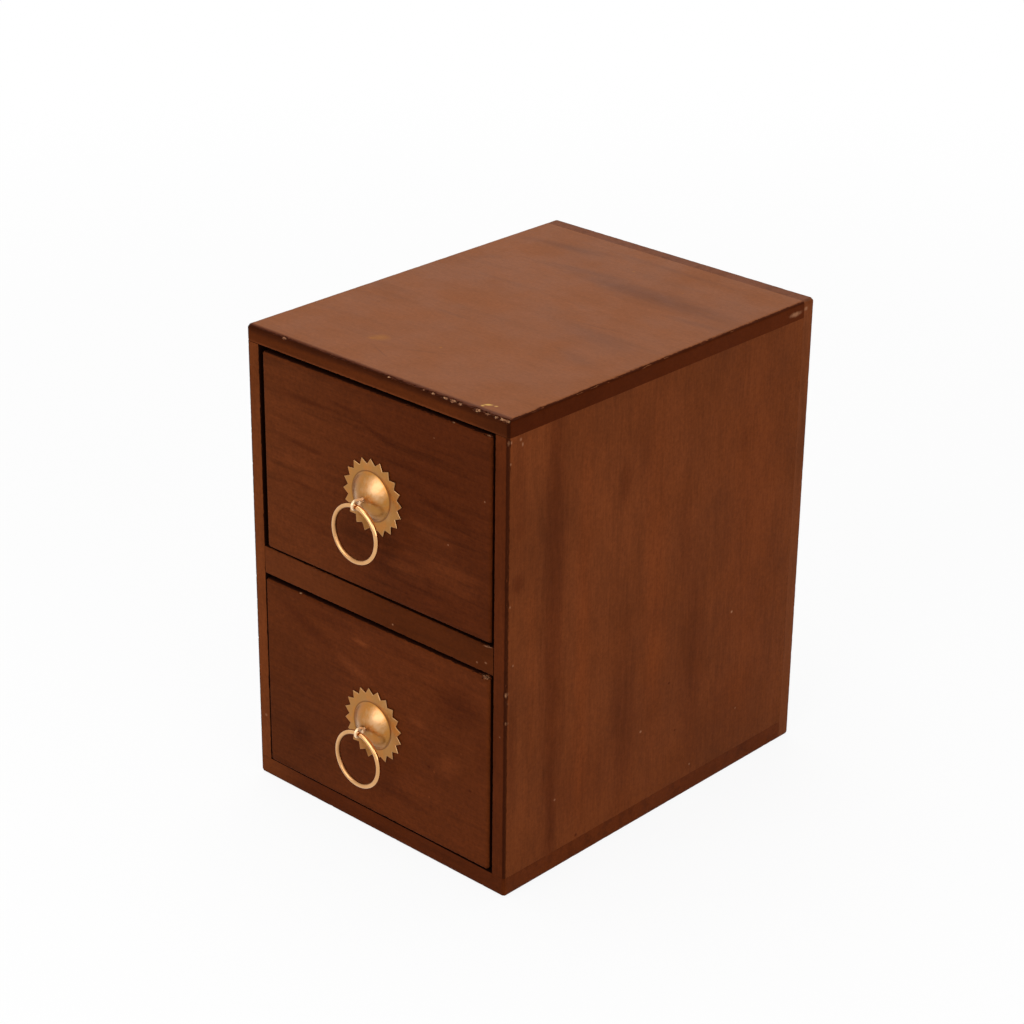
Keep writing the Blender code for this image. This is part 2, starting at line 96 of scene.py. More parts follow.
# Chips, knocks and wear of the arrises
CHIP_REACH = 0.0016
CHIP_DEPTH = 0.00045
CHIP_SCALE = 850
CHIP_THRESHOLD = 0.14
CHIP_SHOWN = 0.7
KNOCK_SCALE = 1300
KNOCK_STRETCH = 1.5
FRACTAL_INCREMENT = 0.6
FRACTAL_LACUNARITY = 2.1
FRACTAL_OCTAVES = 4
WEAR_REACH = 0.0022

# Marks and their frayed edges
MARK_DEPTH = 0.003
FRAY = 0.9
# How far the top's dark edges creep down its front and back over its face
EDGE_SMEAR = 0.0018
TOP_BORDER = 0.0022

# Drawer front joinery, as in the CAD
FRONT_LIP = 0.0040
REBATE_WIDTH = 0.0053
JOINT_GAP = 0.0003
PIN_BORE_RADIUS = 0.00141
ROD_SEGMENTS = 48
# The fronts hang askew: how far their right ends are raised and their left ends lowered
FRONT_SKEW = 0.0003

# Brass pulls
TEETH = 20
TOOTH_COLUMNS = 12
SHEET_COLUMNS = TEETH * TOOTH_COLUMNS
TOOTH_LENGTH = 0.00245
TOOTH_TURNS_DEG = {"upper": 2.3, "lower": 8}
FLANGE_RADIUS = 0.0134
DOME_RADIUS = 0.0098
DOME_RISE = 0.0042
DOME_ROWS = 22
CREASE_WIDTH = 0.0008
CREASE_DEPTH = 0.00012
SHEET_THICKNESS = 0.0004
SHEET_BEVEL = 0.00014
DOME_HOLE_RADIUS = 0.00102
DOME_HOLE_SQUEEZE = 0.35
RING_RADIUS = 0.01155
RING_WIRE_RADIUS = 0.0010
RING_SETTLE = 0.00025
RING_COLUMNS = 144
RING_ROWS = 28
# How dark the ring's inner side is painted: a painted reflection of the dark front in it
RING_DARK_REFLECTION = 0.9
WIRE_WIDTH = 0.00115
WIRE_THICKNESS = 0.0008
WIRE_STEPS = 12
EYE_INNER_RADIUS = 0.0017
EYE_TRIM = 0.00005
EYE_STEPS = 48
RING_DROP = 0.0004
LEG_GAP = 0.0003
LEG_LENGTH = 0.0080
LEG_BEND = 0.0010
NECK_BEND = 0.0011
NECK_CLOSED_SHARE = 0.6
SMOOTH_ANGLE_DEG = 40

TINY = 0.000001
MM = 0.001
FACES = {"left": (0, 0), "right": (0, 1), "front": (1, 0), "back": (1, 1), "bottom": (2, 0), "top": (2, 1)}
MIX_INPUTS = (0, 6, 7)
MIX_OUTPUT = 2
SPOT_SKIN = (0.1, 1.1)


def srgb(red, green, blue):
    """A linear colour from the 0 to 255 codes that a viewer shows."""
    codes = [code / 255 for code in (red, green, blue)]
    return tuple(c / 12.92 if c <= 0.04045 else ((c + 0.055) / 1.055) ** 2.4 for c in codes)


# Stain colours, and painted shade for the faces inside the chest and along its gaps
# The top's colour is paler than the sides' stain: painted light for the stronger light that falls on the
# top
TOP_COLOUR = srgb(127, 74, 42)
TOP_STREAK = srgb(96, 58, 40)
TOP_SMEAR = srgb(150, 92, 30)
SIDE_COLOUR = srgb(105, 52, 23)
SIDE_DARK = srgb(70, 26, 6)
SIDE_LIGHT = srgb(116, 55, 22)
TOP_FRONT_EDGE = srgb(81, 36, 12)
TOP_FRONT_LIP = srgb(106, 52, 24)
TOP_END_NEAR = srgb(69, 26, 6)
TOP_END_FAR = srgb(82, 34, 10)
LEFT_EDGE = srgb(102, 50, 21)
RIGHT_EDGE = srgb(80, 34, 11)
BOTTOM_SIDE = srgb(92, 41, 14)
BOTTOM_FRONT = srgb(79, 33, 10)
RAIL_LEFT = srgb(97, 47, 20)
RAIL_RIGHT = srgb(76, 33, 9)
UPPER_LEFT = srgb(91, 43, 17)
UPPER_RIGHT = srgb(76, 32, 10)
LOWER_LEFT = srgb(84, 38, 13)
LOWER_RIGHT = srgb(87, 39, 14)
# Dark streaks on the fronts, and a band of painted shade along their tops
FRONT_STREAK_AND_SHADE = srgb(58, 20, 4)
FRONT_LIGHT = srgb(118, 58, 26)
BACK_COLOUR = srgb(110, 57, 29)
BACK_TOP = srgb(110, 66, 45)
# Painted shade: near black on faces inside the chest and along the gaps, where shade falls
SHADOWED = srgb(26, 9, 4)
# Painted shade on a drawer front's ends, top and underside, so that the gaps round a closed drawer look
# black
FRONT_END_SHADE = srgb(34, 13, 6)
GRIME = srgb(40, 14, 5)
CHIP_PINK = srgb(154, 106, 76)
CHIP_CREAM = srgb(190, 144, 104)
CHIP_YELLOW = srgb(204, 160, 84)
BARE_COLOUR = srgb(186, 148, 104)

# A soft-edged mark on a face: its place as shares of the face, its reach across and up
# the face, how strongly it shows and its turn
Mark = namedtuple("Mark", "across_share up_share across_mm up_mm amount turn_deg", defaults=(0,))


def marks(*rows):
    return [Mark(*row) for row in rows]


TOP_STREAKS = marks(
    (0.21, 0.9, 28, 4.2, 0.45, 9),
    (0.42, 0.8, 32, 4.2, 0.4, 8),
    (0.68, 0.775, 58, 10, 0.62, -1),
    (0.9, 0.71, 22, 3, 0.35, 4),
    (0.3, 0.62, 30, 2, 0.16, 5),
    (0.09, 0.71, 9, 3, 0.22, 50),
    (0.77, 0.49, 28, 9, 0.32, -6),
    (0.72, 0.54, 17, 0.9, 0.4, 11),
    (0.84, 0.36, 20, 6, 0.24, -18),
    (0.37, 0.37, 15, 1.4, 0.3, 2),
    (0.51, 0.16, 13, 0.8, 0.28, 26),
    (0.42, 0.09, 9, 0.6, 0.45, -22),
    (0.55, 0.95, 60, 2, 0.25),
)
TOP_SMEARS = marks(
    (0.342, 0.149, 5.5, 4, 0.55, 40),
    (0.33, 0.135, 2, 1.1, 0.75, 20),
    (0.514, 0.201, 0.8, 0.8, 0.9),
    (0.489, 0.877, 0.8, 0.7, 0.8),
    (0.711, 0.843, 0.7, 0.6, 0.5),
    (0.642, 0.542, 0.7, 0.6, 0.5),
)
TOP_YELLOW_CHIPS = marks(
    (0.887, 0.0346, 2.2, 1, 1, 30),
    (0.88, 0.023, 1, 0.8, 0.9),
    (0.909, 0.04, 1, 0.6, 0.8, 30),
)
SIDE_STREAKS = marks(
    (0.24, 0.13, 30, 22, 0.22),
    (0.149, 0.6, 8.5, 170, 0.52),
    (0.15, 0.12, 5.5, 60, 0.55, 1),
    (0.396, 0.22, 10, 60, 0.34, 2),
    (0.445, 0.86, 6, 32, 0.16, 10.7),
    (0.641, 0.28, 11, 65, 0.26),
    (0.38, 0.8, 5, 12, 0.34),
    (0.803, 0.768, 4, 8, 0.3),
    (0.038, 0.795, 5, 8, 0.36, 20),
    (0.032, 0.678, 5, 6, 0.55),
    (0.02, 0.3, 3.5, 40, 0.35),
    (0.03, 0.86, 7, 40, 0.3),
    (0.6, 0.6, 6, 40, 0.2, 4),
    (0.559, 0.2625, 0.9, 0.7, 0.8),
    (0.587, 0.134, 0.9, 0.7, 0.8),
    (0.24, 0.008, 1.1, 0.9, 0.9),
)
SIDE_LIGHTS = marks(
    (0.247, 0.48, 6.2, 110, 0.5),
    (0.494, 0.48, 9, 100, 0.4, 1),
    (0.85, 0.2, 20, 50, 0.22),
    (0.85, 0.5, 26, 110, 0.4),
    (0.815, 0.16, 20, 22, 0.45, -30),
    (0.08, 0.46, 5, 60, 0.22),
)
SIDE_CHIPS = marks(
    (0.004, 0.438, 1, 1, 0.6),
    (0.004, 0.415, 0.8, 0.7, 0.4),
    (0.005, 0.37, 0.8, 0.9, 0.4),
    (0.007, 0.992, 0.8, 0.8, 0.8),
    (0.037, 0.991, 0.7, 0.8, 0.6),
    (0.043, 0.979, 0.6, 1, 0.7),
    (0.007, 0.946, 0.6, 0.7, 0.6),
    (0.01, 0.634, 0.6, 0.7, 0.6),
    (0.021, 0.498, 0.6, 0.6, 0.6),
    (0.461, 0.178, 0.8, 0.7, 0.8),
    (0.785, 0.36, 0.8, 0.8, 1),
    (0.818, 0.104, 0.6, 0.6, 0.7),
    (0.648, 0.024, 0.6, 0.6, 0.6),
    (0.165, 0.126, 0.7, 0.7, 0.7),
)
UPPER_STREAKS_AND_SHADE = marks(
    # Painted shade: a dark band along the top, under the top board
    (0.28, 0.99, 50, 3.5, 0.3),
    (0.22, 0.83, 27, 1.8, 0.5, 1),
    (0.52, 0.8, 17, 1.6, 0.45, -14),
    (0.18, 0.6, 20, 1.8, 0.48, -3),
    (0.38, 0.87, 17, 1.3, 0.35, -3),
    (0.17, 0.4, 16, 1.6, 0.36, -4),
    (0.8, 0.56, 23, 2.2, 0.45, -8),
    (0.72, 0.7, 30, 3, 0.35, -5),
    (0.12, 0.7, 14, 1.2, 0.25),
    (0.3, 0.2, 24, 1.8, 0.3, -2),
    (0.62, 0.14, 20, 3, 0.15, -6),
    (0.85, 0.33, 18, 1.8, 0.35, -6),
)
UPPER_LIGHTS = marks(
    (0.64, 0.19, 14, 6, 0.28, -5),
    (0.75, 0.42, 18, 5, 0.24, -5),
    (0.14, 0.5, 17, 4, 0.16, -2),
    (0.68, 0.28, 14, 5, 0.14, -10),
    (0.81, 0.27, 26, 11, 0.26, -6),
)
UPPER_SPECKS = marks(
    (0.966, 0.684, 0.5, 0.5, 0.6),
    (0.816, 0.405, 0.5, 0.5, 0.5),
    (0.758, 0.892, 0.5, 0.4, 0.4),
)
LOWER_STREAKS_AND_SHADE = marks(
    (0.19, 0.84, 23, 4.5, 0.42, -22),
    (0.15, 0.22, 8, 8, 0.3),
    # Painted shade: a dark band along the top, under the rail
    (0.32, 0.985, 48, 3.5, 0.35),
    (0.29, 0.93, 20, 4.5, 0.34),
    (0.62, 0.92, 22, 4, 0.3, -8),
    (0.96, 0.66, 6, 20, 0.25),
    (0.62, 0.16, 22, 2.8, 0.25, -4),
    (0.86, 0.78, 20, 13, 0.55),
    (0.735, 0.393, 1.2, 1.1, 0.7),
    (0.915, 0.374, 1.1, 1, 0.6),
)
LOWER_LIGHTS = marks(
    (0.435, 0.88, 5.5, 1.8, 0.55, -5),
    (0.39, 0.73, 13.5, 3.6, 0.36, -18),
    (0.68, 0.6, 7.5, 2.4, 0.34, -5),
    (0.82, 0.45, 11, 6, 0.3, 40),
    (0.758, 0.38, 0.8, 0.7, 0.8),
    (0.875, 0.545, 0.7, 0.6, 0.6),
    (0.736, 0.233, 0.7, 0.6, 0.6),
)
RAIL_SPECKS = marks(
    (0.578, 0.22, 0.6, 0.5, 0.7),
    (0.936, 0.25, 0.7, 0.6, 0.5),
    (0.972, 0.36, 0.9, 0.6, 0.5),
    (0.982, 0.97, 3, 0.5, 0.7, 10),
)
LEFT_EDGE_CHIPS = marks((0.64, 0.107, 0.9, 0.8, 0.5))
RIGHT_EDGE_CHIPS = marks(
    (0.93, 0.434, 0.9, 0.8, 0.6),
    (0.97, 0.42, 0.7, 0.6, 0.45),
    (0.97, 0.369, 0.7, 0.8, 0.45),
    (0.55, 0.334, 0.6, 0.5, 0.4),
)
END_FILL = marks((0.97, 0.42, 5, 1.3, 0.85))
BACK_FILL = marks((0.18, 0.983, 1.4, 1.1, 0.8))

# A knock in an arris: its place as a share of the arris, its reach and its depth
Knock = namedtuple("Knock", "along_share reach_mm depth_mm")
TOP_KNOCKS = (
    Knock(0.152, 1.3, 0.5),
    Knock(0.561, 1, 0.4),
    Knock(0.690, 0.9, 0.4),
    Knock(0.725, 1.2, 0.4),
    Knock(0.770, 1.3, 0.5),
    Knock(0.797, 1.6, 0.6),
    Knock(0.823, 1.2, 0.5),
    Knock(0.885, 1.6, 0.7),
    Knock(0.921, 1.2, 0.6),
    Knock(0.952, 1.1, 0.6),
    Knock(0.972, 1.3, 0.6),
    Knock(0.992, 1.5, 0.7),
)
UPPER_FRONT_KNOCKS = (Knock(0.84, 0.8, 0.3), Knock(0.985, 0.9, 0.4))
LOWER_FRONT_KNOCKS = (Knock(0.16, 1, 0.4), Knock(0.98, 2, 0.8))
SIDE_KNOCKS = (Knock(0.435, 1.2, 0.5), Knock(0.37, 0.9, 0.4), Knock(0.99, 1.2, 0.4))

# An arris that is rounded, by the two faces that meet there, how worn it is at its start
# and at its end, and its knocks
Easing = namedtuple("Easing", "faces radius wear_start wear_end knocks", defaults=((),))


class Graph:
    """The shader nodes of one material, added and linked by short calls."""

    def __init__(self, name):
        self.material = bpy.data.materials.new(name)
        self.material.use_nodes = True
        self.nodes = self.material.node_tree.nodes
        self.links = self.material.node_tree.links
        self.shader = self.nodes["Principled BSDF"]
        space = self.nodes.new("ShaderNodeTexCoord")
        self.position = space.outputs["Object"]
        self.normal = space.outputs["Normal"]

    def feed(self, socket, value):
        """Links a socket to another one, or sets it to a constant."""
        if isinstance(value, bpy.types.NodeSocket):
            self.links.new(value, socket)
        elif socket.type == "RGBA":
            socket.default_value = (*value, 1)
        else:
            socket.default_value = value

    def add(self, kind, inputs, **settings):
        """Adds a shader node with its settings and feeds its inputs."""
        node = self.nodes.new(f"ShaderNode{kind}")
        for name, value in settings.items():
            setattr(node, name, value)
        for key, value in inputs.items():
            self.feed(node.inputs[key], value)
        return node

    def length(self, vector):
        return self.add("VectorMath", {0: vector}, operation="LENGTH").outputs["Value"]

    def place(self, scale=(1, 1, 1)):
        """The position in metres, times a scale along each axis."""
        return self.add("VectorMath", {0: self.position, 1: scale}, operation="MULTIPLY").outputs[0]

    def part(self, vector, axis):
        return self.add("SeparateXYZ", {0: vector}).outputs[axis]

    def math(self, operation, *values):
        return self.add("Math", dict(enumerate(values)), operation=operation).outputs[0]

    def times(self, first, second):
        return self.math("MULTIPLY", first, second)

    def times_plus(self, value, factor, offset):
        return self.math("MULTIPLY_ADD", value, factor, offset)

    def blend(self, first, share, second):
        """A share of the first value and the rest of the second."""
        return self.times_plus(first, share, self.times(second, 1 - share))

    def about_one(self, value, spread):
        """A value between 0 and 1 as a factor spread round 1."""
        return self.times_plus(value, spread, 1 - spread / 2)

    def noise(self, vector, scale=1, detail=3, roughness=0.5, distortion=0):
        inputs = {"Vector": vector, "Scale": scale, "Detail": detail, "Roughness": roughness}
        return self.add("TexNoise", {**inputs, "Distortion": distortion}).outputs["Fac"]

    def band(self, value, low, high, to_low=0, to_high=1):
        """A smooth step of value between low and high."""
        inputs = dict(enumerate((value, low, high, to_low, to_high)))
        return self.add("MapRange", inputs, interpolation_type="SMOOTHSTEP").outputs[0]

    def mix(self, factor, first, second):
        node = self.add("Mix", {}, data_type="RGBA")
        for key, value in zip(MIX_INPUTS, (factor, first, second)):
            self.feed(node.inputs[key], value)
        return node.outputs[MIX_OUTPUT]

    def attribute(self, name):
        return self.add("Attribute", {}, attribute_name=name).outputs["Fac"]

    def along(self, axis, low, high):
        """0 to 1 from one place to another along an axis."""
        return self.band(self.part(self.position, axis), low, high)

    def towards(self, word):
        """How much the surface turns towards a face: 1 where it lies in that face."""
        axis, end = FACES[word]
        return self.times(self.part(self.normal, axis), 2 * end - 1)

    def facing(self, word, low=0.4, high=0.7, to_low=0, to_high=1):
        return self.band(self.towards(word), low, high, to_low, to_high)

    def roughly_facing(self, word, low, high, ragged, raggedness):
        """The same with a ragged boundary."""
        turned = self.math("SUBTRACT", self.towards(word), raggedness / 2)
        return self.band(self.times_plus(ragged, raggedness, turned), low, high)

    def spot(self, place, reach, turn, ragged):
        """1 at the heart of an ellipsoid, falling to 0 along its ragged skin."""
        inputs = {"Vector": self.position, "Location": place, "Rotation": turn, "Scale": reach}
        local = self.add("Mapping", inputs, vector_type="TEXTURE").outputs[0]
        return self.band(self.math("ADD", self.length(local), ragged), *SPOT_SKIN, 1, 0)

    def bump(self, height, distance, strength=1, normal=None):
        inputs = {"Strength": strength, "Distance": distance, "Height": height}
        if normal is not None:
            inputs["Normal"] = normal
        return self.add("Bump", inputs).outputs[0]

    def finish(self, colour, roughness, normal=None, **constants):
        """Feeds the surface shader and hands over the material."""
        self.feed(self.shader.inputs["Base Color"], colour)
        self.feed(self.shader.inputs["Roughness"], roughness)
        if normal is not None:
            self.links.new(normal, self.shader.inputs["Normal"])
        for name, value in constants.items():
            self.shader.inputs[name.replace("_", " ")].default_value = value
        return self.material


# Layers of noise along the grain: the scales along and across it, detail, roughness, distortion
GRAINS = {
    "drifts": (9, 90, 2, 0.5, 0),
    "broad": (6, 58, 4, 0.55, 0.4),
    "narrow": (13, 250, 5, 0.6, 0),
    "clouds": (24, 40, 5, 0.6, 0),
    "wisps": (24, 270, 3, 0.5, 0.3),
    "frays": (70, 420, 5, 0.65, 0),
    "fine": (110, 1300, 4, 0.65, 0),
    "pores": (420, 4200, 2, 0.5, 0),
}
# Layers of noise that are alike all round: scale, detail and roughness
SPECKLES = {
    "smudges": (38, 5, 0.6),
    "waves": (75, 3, 0.5),
    "patches": (230, 4, 0.5),
    "ragged": (520, 6, 0.7),
    "specks": (640, 4, 0.75),
    "tints": (700, 3, 0.5),
    "crumbs": (1500, 5, 0.7),
}
WAVE_DEPTH = 0.0005
PORE_DEPTH = 0.00004
BARE_DEPTH = 0.00006
FIGURE_CONTRAST = 2.4
# How much a drawer front's arris counts as facing forward where it turns sideways, before the painted shade
# of its ends covers it
SIDE_ARRIS_UNSHADED = 0.45


class Wood(Graph):
    """A stained board: figure along its grain, marks, dark joints and worn arrises."""

    def __init__(self, name, grain, spread=0.34, streakiness=0.5, smoke=0.2, speckle=1):
        super().__init__(name)
        self.grain = grain
        self.fine = self.grained("fine")
        self.pores = self.grained("pores")
        self.ragged = self.speckled("ragged")
        self.frayed = self.times_plus(self.grained("frays"), FRAY, -FRAY / 2)
        factor = self.times(self.figure(spread, streakiness), self.specks(speckle))
        factor = self.times(factor, self.wisps(smoke))
        self.factor = self.times(factor, self.band(self.pores, 0.60, 0.74, 1, 0.82))

    def grained(self, layer):
        along, across, *settings = GRAINS[layer]
        scales = [along if axis == self.grain else across for axis in "XYZ"]
        return self.noise(self.place(scales), 1, *settings)

    def speckled(self, layer):
        return self.noise(self.place(), *SPECKLES[layer])

    def figure(self, spread, streakiness):
        """Streaks and clouds in the wood."""
        lines = self.blend(self.grained("broad"), 0.6, self.grained("narrow"))
        mixed = self.blend(lines, streakiness, self.grained("clouds"))
        return self.about_one(mixed, FIGURE_CONTRAST * spread)

    def specks(self, speckle):
        """Fine lines and specks."""
        return self.about_one(self.blend(self.fine, 0.4, self.speckled("specks")), speckle)

    def wisps(self, smoke):
        """Long darker wisps that come and go."""
        wisps = self.band(self.grained("wisps"), 0.46, 0.66)
        drifts = self.band(self.grained("drifts"), 0.40, 0.58)
        return self.times_plus(self.times(wisps, drifts), -smoke, 1)

    def figured(self, colour):
        return self.add("VectorMath", {0: colour, "Scale": self.factor}, operation="SCALE").outputs[0]

    def slope(self, axis, low, high, start, end):
        """A colour that changes from start to end between two places along an axis."""
        return self.mix(self.along(axis, low, high), start, end)

    def mark_spot(self, corners, face, mark):
        """How strongly a mark shows at each place."""
        axis, end = FACES[face]
        across, up = [other for other in range(3) if other != axis]
        place, reach, turn = list(corners[end]), [MARK_DEPTH] * 3, [0, 0, 0]
        for other, share in ((across, mark.across_share), (up, mark.up_share)):
            place[other] = corners[0][other] + share * (corners[1][other] - corners[0][other])
        reach[across], reach[up] = mark.across_mm * MM, mark.up_mm * MM
        turn[axis] = math.radians(mark.turn_deg) * (-1 if axis == 1 else 1)
        return self.times(self.spot(place, reach, turn, self.frayed), mark.amount)

    def marked(self, colour, node, face, face_marks, mark_colour):
        """A colour with marks on one face of a CAD board."""
        if not face_marks:
            return colour
        spots = [self.mark_spot(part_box(node), face, mark) for mark in face_marks]
        cover = spots[0]
        for spot in spots[1:]:
            cover = self.math("MAXIMUM", cover, spot)
        return self.mix(cover, colour, mark_colour)

    def rubbed(self, colour):
        """Grime in patches along the worn arrises, and paler rubbed spots."""
        wear = self.attribute("wear")
        patchy = self.band(self.speckled("patches"), 0.42, 0.62)
        colour = self.mix(self.times(self.times(wear, patchy), 0.45), colour, GRIME)
        return self.mix(self.band(self.times(wear, self.ragged), 0.56, 0.62, 0, 0.6), colour, CHIP_PINK)

    def chipped(self, colour, paleness):
        """Pale wood where an arris is chipped or knocked."""
        tint = self.band(self.speckled("tints"), 0.45, 0.6)
        chip = self.math("SUBTRACT", self.attribute("chip"), 0.75)
        chips = self.times_plus(self.speckled("crumbs"), 1.5, chip)
        bare = self.band(chips, 0.62, 0.80, 0, paleness)
        return self.mix(bare, colour, self.mix(tint, CHIP_PINK, CHIP_CREAM))

    def relief(self):
        """Shallow waves, with the grain and its pores on them."""
        waves = self.bump(self.speckled("waves"), WAVE_DEPTH, 0.22)
        height = self.math("SUBTRACT", self.times(self.fine, 0.5), self.pores)
        return self.bump(height, PORE_DEPTH, 0.5, waves)

    def worn(self, colour, gloss=0.42, sheen=0.012, paleness=0.5):
        """Finishes a board: worn and chipped arrises, relief and a smudged polish."""
        colour = self.chipped(self.rubbed(colour), paleness)
        roughness = self.band(self.speckled("smudges"), 0.3, 0.7, gloss - 0.07, gloss + 0.1)
        self.feed(self.shader.inputs["Specular IOR Level"], sheen)
        return self.finish(colour, roughness, self.relief())


def top_face(wood):
    """The face, painted paler than the sides for the stronger light on it, with its stains and yellow
    chips.
    """
    face = wood.marked(TOP_COLOUR, "top_board", "top", TOP_STREAKS, TOP_STREAK)
    face = wood.marked(wood.figured(face), "top_board", "top", TOP_SMEARS, TOP_SMEAR)
    return wood.marked(face, "top_board", "top", TOP_YELLOW_CHIPS, CHIP_YELLOW)


def top_edge(wood, low, high):
    """The dark edges, with grime under the arrises and towards the near corner."""
    front = wood.slope(2, low.z, low.z + OUTER_ARRIS, TOP_FRONT_LIP, TOP_FRONT_EDGE)
    end = wood.slope(1, low.y, high.y, TOP_END_NEAR, TOP_END_FAR)
    end = wood.marked(end, "top_board", "right", END_FILL, CHIP_PINK)
    height = wood.times_plus(wood.frayed, EDGE_SMEAR, wood.part(wood.position, 2))
    smear = wood.band(height, high.z - 2 * EDGE_SMEAR, high.z - 0.8 * EDGE_SMEAR, 0, 0.65)
    near_corner = wood.times(wood.along(0, high.x / 2, high.x), 0.5)
    front = wood.mix(wood.math("MAXIMUM", smear, near_corner), front, GRIME)
    edge = wood.figured(wood.mix(wood.facing("front"), end, front))
    # Painted shade on the underside
    edge = wood.mix(wood.facing("bottom", 0.5, 0.8), edge, SHADOWED)
    crest = wood.times(wood.facing("top", 0.2, 0.5), wood.facing("top", 0.98, 0.8))
    edge = wood.mix(wood.times(crest, 0.5), edge, GRIME)
    corner = wood.times(wood.facing("front", 0.2, 0.5), wood.facing("right", 0.1, 0.4))
    return wood.mix(wood.times(corner, 0.85), edge, GRIME)


def top_shown(wood, low, high):
    """How much of the top face shows: little along the front, least at the near corner."""
    depth = wood.times_plus(wood.frayed, TOP_BORDER / 2, wood.part(wood.position, 1))
    depth = wood.times_plus(wood.along(0, 0, high.x), -TOP_BORDER / 2, depth)
    bordered = wood.band(depth, low.y + 0.5 * TOP_BORDER, low.y + 1.2 * TOP_BORDER, 0.2, 1)
    return wood.times(wood.roughly_facing("top", 0.84, 0.96, wood.ragged, 0.4), bordered)


def top_wood():
    """A face painted paler for the stronger light on the top, whose dark edges creep over the arris along a
    ragged line.
    """
    low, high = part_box("top_board")
    wood = Wood("top_wood", "X", spread=0.18, streakiness=0.4, smoke=0.06, speckle=0.9)
    colour = wood.mix(top_shown(wood, low, high), top_edge(wood, low, high), top_face(wood))
    return wood.worn(colour, 0.40, wood.facing("top", 0.5, 0.9, 0.008, 0.03), 0.8)


def upright_wood(node, outer, inner, edge_colour, chips):
    """A side board: figured outside, darker on its front edge, with painted shade on its inner face."""
    wood = Wood(f"{node}_wood", "Z", spread=0.44, streakiness=0.22, smoke=0.10, speckle=1.2)
    face = wood.marked(SIDE_COLOUR, node, outer, SIDE_STREAKS, SIDE_DARK)
    face = wood.figured(wood.marked(face, node, outer, SIDE_LIGHTS, SIDE_LIGHT))
    face = wood.marked(face, node, outer, SIDE_CHIPS, CHIP_PINK)
    edge = wood.marked(wood.figured(edge_colour), node, "front", chips, CHIP_PINK)
    seam = wood.times(wood.facing("front", 0.2, 0.5), wood.facing(outer, 0.1, 0.35))
    colour = wood.mix(wood.roughly_facing("front", 0.5, 0.8, wood.ragged, 0.3), face, edge)
    colour = wood.mix(wood.times(seam, 0.8), colour, GRIME)
    # Painted shade on the inner face
    return wood.worn(wood.mix(wood.facing(inner), colour, SHADOWED), paleness=0.35)


def bottom_wood():
    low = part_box("bottom_board")[0]
    wood = Wood("bottom_wood", "X")
    front = wood.slope(0, low.x, low.x / 2, LEFT_EDGE, BOTTOM_FRONT)
    colour = wood.figured(wood.mix(wood.facing("front", 0.5, 0.8), BOTTOM_SIDE, front))
    # Painted shade on its top face, inside the chest
    return wood.worn(wood.mix(wood.facing("top"), colour, SHADOWED))


def rail_wood():
    low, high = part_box("divider_rail")
    wood = Wood("rail_wood", "X")
    colour = wood.figured(wood.slope(0, low.x, high.x / 4, RAIL_LEFT, RAIL_RIGHT))
    colour = wood.marked(colour, "divider_rail", "front", RAIL_SPECKS, CHIP_PINK)
    # Painted shade on all its faces but the front
    return wood.worn(wood.mix(wood.facing("front", 0.55, 0.8), SHADOWED, colour))


def back_wood():
    wood = Wood("back_wood", "Z")
    colour = wood.figured(wood.mix(wood.facing("top", 0.5, 0.8), BACK_COLOUR, BACK_TOP))
    colour = wood.marked(colour, "back_panel", "right", BACK_FILL, CHIP_PINK)
    # Painted shade on its front face, inside the chest
    return wood.worn(wood.mix(wood.facing("front"), colour, SHADOWED))


# What sets one drawer's front apart from the other's: how far right of the CAD's its left and
# its right end lie and how far below it its underside, its arrises at the left and below, its
# colours at the left and at the right and the share of its width over which they change, its
# dark marks with a band of painted shade along its top, its lighter marks, specks and knocks,
# and how streaky and smoky it is
FrontLook = namedtuple(
    "FrontLook",
    "end_moves drop snug_arris left right reach streaks lights specks knocks streakiness smoke",
)
FRONT_LOOKS = {
    "upper": FrontLook(
        end_moves=(0.0004, -0.0009),
        drop=0,
        snug_arris=FRONT_ARRIS,
        left=UPPER_LEFT,
        right=UPPER_RIGHT,
        reach=0.75,
        streaks=UPPER_STREAKS_AND_SHADE,
        lights=UPPER_LIGHTS,
        specks=UPPER_SPECKS,
        knocks=UPPER_FRONT_KNOCKS,
        streakiness=0.6,
        smoke=0.22,
    ),
    "lower": FrontLook(
        end_moves=(-0.0007, -0.0008),
        drop=0.0001,
        snug_arris=0.0004,
        left=LOWER_LEFT,
        right=LOWER_RIGHT,
        reach=0.5,
        streaks=LOWER_STREAKS_AND_SHADE,
        lights=LOWER_LIGHTS,
        specks=(),
        knocks=LOWER_FRONT_KNOCKS,
        streakiness=0.3,
        smoke=0.12,
    ),
}


def drawer_wood(level):
    """A drawer's front: streaked face, with painted shade on its edges and sideways arrises."""
    node = f"{level}_drawer_front"
    low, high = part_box(node)
    look = FRONT_LOOKS[level]
    wood = Wood(f"{level}_front_wood", "X", streakiness=look.streakiness, smoke=look.smoke, speckle=1.5)
    colour = wood.slope(0, low.x, low.x + (high.x - low.x) * look.reach, look.left, look.right)
    # Dark streaks, and a band of painted shade along the top
    colour = wood.marked(colour, node, "front", look.streaks, FRONT_STREAK_AND_SHADE)
    colour = wood.figured(wood.marked(colour, node, "front", look.lights, FRONT_LIGHT))
    colour = wood.marked(colour, node, "front", look.specks, CHIP_PINK)
    # Painted shade: the front's edges, and its arrises where they turn sideways, go near black so that the
    # gaps look dark
    sideways = wood.math("ABSOLUTE", wood.towards("right"))
    unshaded = wood.band(wood.times_plus(sideways, SIDE_ARRIS_UNSHADED, wood.towards("front")), 0.6, 0.85)
    return wood.worn(wood.mix(unshaded, FRONT_END_SHADE, colour), 0.36, paleness=0.45)


